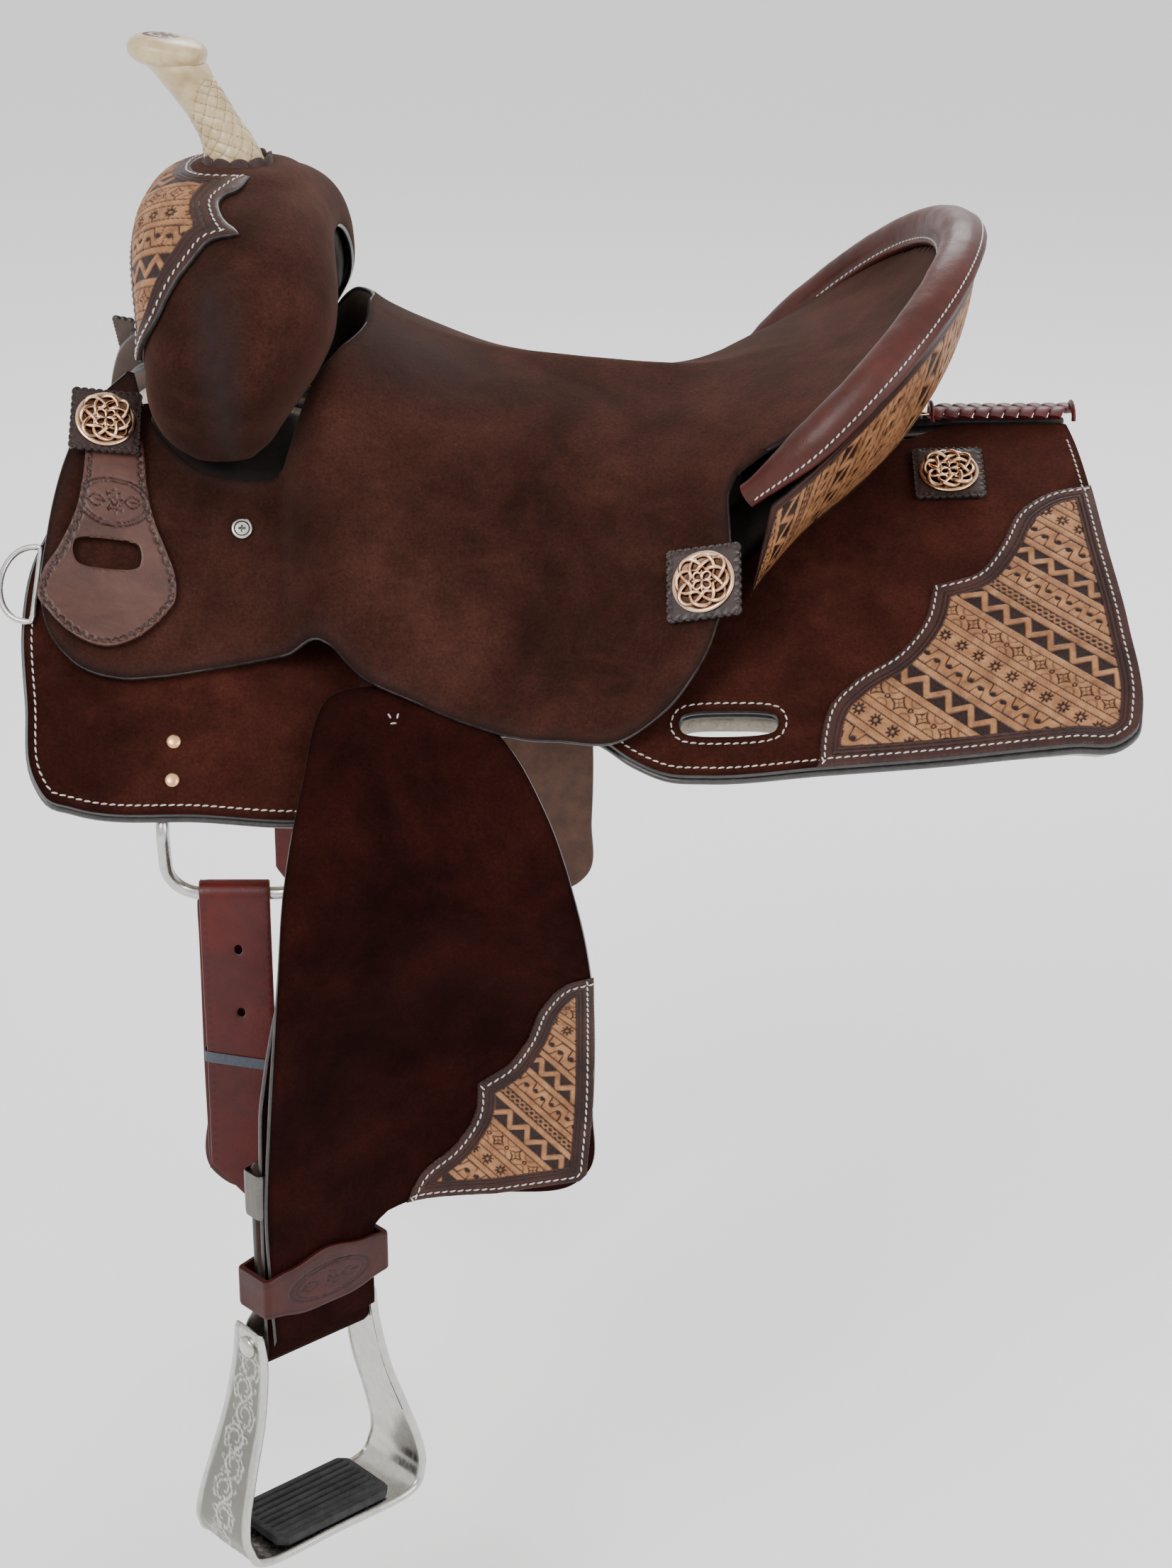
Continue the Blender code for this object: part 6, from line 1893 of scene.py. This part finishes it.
def scroll_work(s, w, half):
    """Engraved vine with curled leaves: depth 0..1 at arc length s and width w."""
    period = 0.034
    lines = np.abs(w - 0.42 * half * np.sin(2 * np.pi * s / period)) / 0.00075
    k = np.round(2 * s / period - 0.5)
    sign = np.where(k % 2 == 0, 1.0, -1.0)
    ds, dw = s - (k + 0.5) * period / 2, w + sign * 0.10 * half
    r, angle = np.hypot(ds, dw), np.arctan2(dw, ds)
    spiral = r - (0.0016 + 0.0011 * (angle * sign % (2 * np.pi)))
    spiral = np.minimum(np.abs(spiral), np.abs(spiral - 0.0034)) / 0.00062
    leaf = np.abs(r - half * (0.62 + 0.20 * np.cos(7 * angle))) / 0.0007
    return 1 - ease(0.45, 1.1, np.minimum(np.minimum(lines, spiral), leaf))


def make_stirrup(word, side):
    across, out, bolt = local(side)
    up = np.array((0.0, 0.0, 1.0))
    k = np.linspace(0, 1, 150)
    u, z = along(ARM, k)
    line = np.concatenate([np.stack([-u, z, k], 1), np.stack([u, z, k], 1)[::-1][1:]])
    run = np.concatenate([[0], np.cumsum(np.hypot(*np.diff(line[:, :2], axis=0).T))])
    count = 380
    even = np.linspace(0, run[-1], count)
    line = np.stack([np.interp(even, run, line[:, j]) for j in range(3)], 1)
    t = unit(np.gradient(line[:, :2], axis=0))
    t3 = across * t[:, :1] + up * t[:, 1:]
    n3 = unit(np.cross(t3, out))
    if n3[0] @ across > 0:
        n3 = -n3
    centre = bolt + across * line[:, :1] + up * line[:, 1:2]
    deep = table(ARM_DEEP, line[:, 2])
    rows = 46
    w = np.linspace(-1, 1, rows)
    flat_w = np.sign(w) * (1 - (1 - np.abs(w)) ** 1.25)
    rings, tone = [], []
    ends = np.minimum(even, run[-1] - even)
    for face in (1, -1):
        for f in (flat_w if face > 0 else flat_w[::-1]):
            edge = (1 - abs(f)) * deep
            thick = 0.0018 + 0.0011 * bump(edge, 0.0022, 0.0026)
            thick = thick * np.sqrt(np.clip(1 - (1 - np.clip(edge / 0.0022, 0, 1)) ** 2, 0.02, 1))
            thick = thick * (0.35 + 0.65 * ease(0, 0.0022, ends))
            dark = np.zeros(count)
            if face > 0:
                field = ease(0.0048, 0.0056, edge) * ease(0.006, 0.010, ends)
                field = field * (1 - ease(0.78, 0.86, line[:, 2]))
                cut = scroll_work(ends, f * deep, 0.014)
                thick = thick + 0.00035 * cut * field
                dark = 0.85 * field * (1 - cut) + 0.5 * bump(edge, 0.0045, 0.0008) * (line[:, 2] < 0.84)
            rings.append(centre + out * (f * deep)[:, None] + n3 * (face * thick)[:, None])
            tone.append(dark)
    rings, tone = np.stack(rings, 1), np.stack(tone, 1)
    form = skin_form(rings, dark=tone)
    for turn in (-1, 1):
        base = bolt + across * turn * 0.0452
        lathe_form(base, across * turn, [(0.0072, 0.0), (0.0074, 0.0012), (0.0066, 0.0026),
                                         (0.0040, 0.0036), (0.0004, 0.0039)], form, count=32)
    piece("stirrup_frame_" + word, form, [ALLOY], "stirrup_" + word,
          ["stirrup_" + word], crease=40)

    base = -0.1400 + 0.0022 + 0.0012

    def on_tread(u, v, h=0.0):
        u, v, h = np.broadcast_arrays(np.asarray(u, float), v, h)
        return bolt + across * u[..., None] + out * v[..., None] + up * (base + h)[..., None]

    def ribs(u, v, gap, run):
        groove = np.abs(np.sin(np.pi * (v + 0.026) / 0.0058))
        inside_of = ease(0.003, 0.005, 0.0445 - np.abs(u))
        return -0.0022 * (1 - ease(0.20, 0.55, groove)) * inside_of

    edge = [(-0.045, -0.020), (-0.039, -0.026), (0.039, -0.026), (0.045, -0.020), (0.045, 0.020),
            (0.039, 0.026), (-0.039, 0.026), (-0.045, 0.020)]
    form = sheet_form(even_line(edge, 0.0018, closed=True), on_tread, 0.0, 0.0068, 0.0011, soft=0.0022,
                      relief=ribs)
    piece("rubber_pad_" + word, form, [RUBBER, RUBBER, RUBBER], "stirrup_" + word,
          ["stirrup_tread_" + word], crease=35)
    path = bolt + across * np.linspace(-0.0413, 0.0413, 9)[:, None]
    form = rod_form(path, 0.0085, count=32, up=up, dark=np.zeros((9, 32)))
    piece("bolt_sleeve_" + word, form, [STEEL], "stirrup_" + word,
          ["stirrup_bolt_" + word])


# ---------------------------------------------------------------- build everything
make_seat()
make_tree()
make_swell()
make_horn()
make_cantle()
make_braid()
for word, side in SIDES:
    make_skirt(word, side)
    make_dees(word, side)
    make_latigo(word, side)
    make_trim(word, side)
    make_leathers(word, side)
    make_stirrup(word, side)


# ---------------------------------------------------------------- stage, light, camera
def area_light(name, where, aim, size, power, tint=(1.0, 1.0, 1.0)):
    data = bpy.data.lights.new(name, "AREA")
    data.shape = "RECTANGLE"
    data.size, data.size_y = size
    data.energy = power
    data.color = tint
    lamp = bpy.data.objects.new(name, data)
    lamp.location = where
    lamp.rotation_euler = (Vector(aim) - Vector(where)).to_track_quat("-Z", "Y").to_euler()
    bpy.context.scene.collection.objects.link(lamp)


def make_stage():
    mesh = bpy.data.meshes.new("floor")
    r = 14.0
    mesh.from_pydata([(-r, -r, -0.78), (r, -r, -0.78), (r, r, -0.78), (-r, r, -0.78)], [],
                     [(0, 1, 2, 3)])
    floor = bpy.data.objects.new("floor", mesh)
    bpy.context.scene.collection.objects.link(floor)
    s = Shade("pale_floor")
    s.set(Base_Color=(0.97, 0.97, 0.97), Roughness=0.9)
    mesh.materials.append(s.material)
    world = bpy.data.worlds.new("studio")
    bpy.context.scene.world = world
    world.use_nodes = True
    sky = world.node_tree.nodes["Background"]
    sky.inputs["Color"].default_value = (1.0, 1.0, 1.0, 1.0)
    sky.inputs["Strength"].default_value = 1.15
    area_light("key", (-1.6, -2.6, 2.4), (0, 0, -0.1), (1.6, 1.6), 90)
    area_light("fill", (2.4, -2.0, 1.2), (0, 0, -0.2), (1.8, 1.8), 40)
    area_light("back", (0.6, 2.6, 2.2), (0, 0, 0.0), (1.8, 1.2), 60)


def make_camera():
    """Near side, looking down at a point below the seat."""
    aim_z, distance, down = -0.22, 2.2, math.radians(22)
    data = bpy.data.cameras.new("camera")
    data.sensor_fit = "VERTICAL"
    data.sensor_height = 36.0
    data.sensor_width = 36.0
    data.lens = 74.86438
    camera = bpy.data.objects.new("camera", data)
    camera.location = (0.0, -distance * math.cos(down), aim_z + distance * math.sin(down))
    camera.rotation_euler = (math.pi / 2 - down, 0.0, 0.0)
    bpy.context.scene.collection.objects.link(camera)
    bpy.context.scene.camera = camera


# CAD nodes that stay in view between the leathers, made near-black as painted shade
for covered in ("ground_seat", "tree_cantle", "horn_post"):
    for spot in bpy.data.objects[covered].material_slots:
        spot.link = "OBJECT"
        spot.material = PAINTED_SHADE_BASE
make_stage()
make_camera()
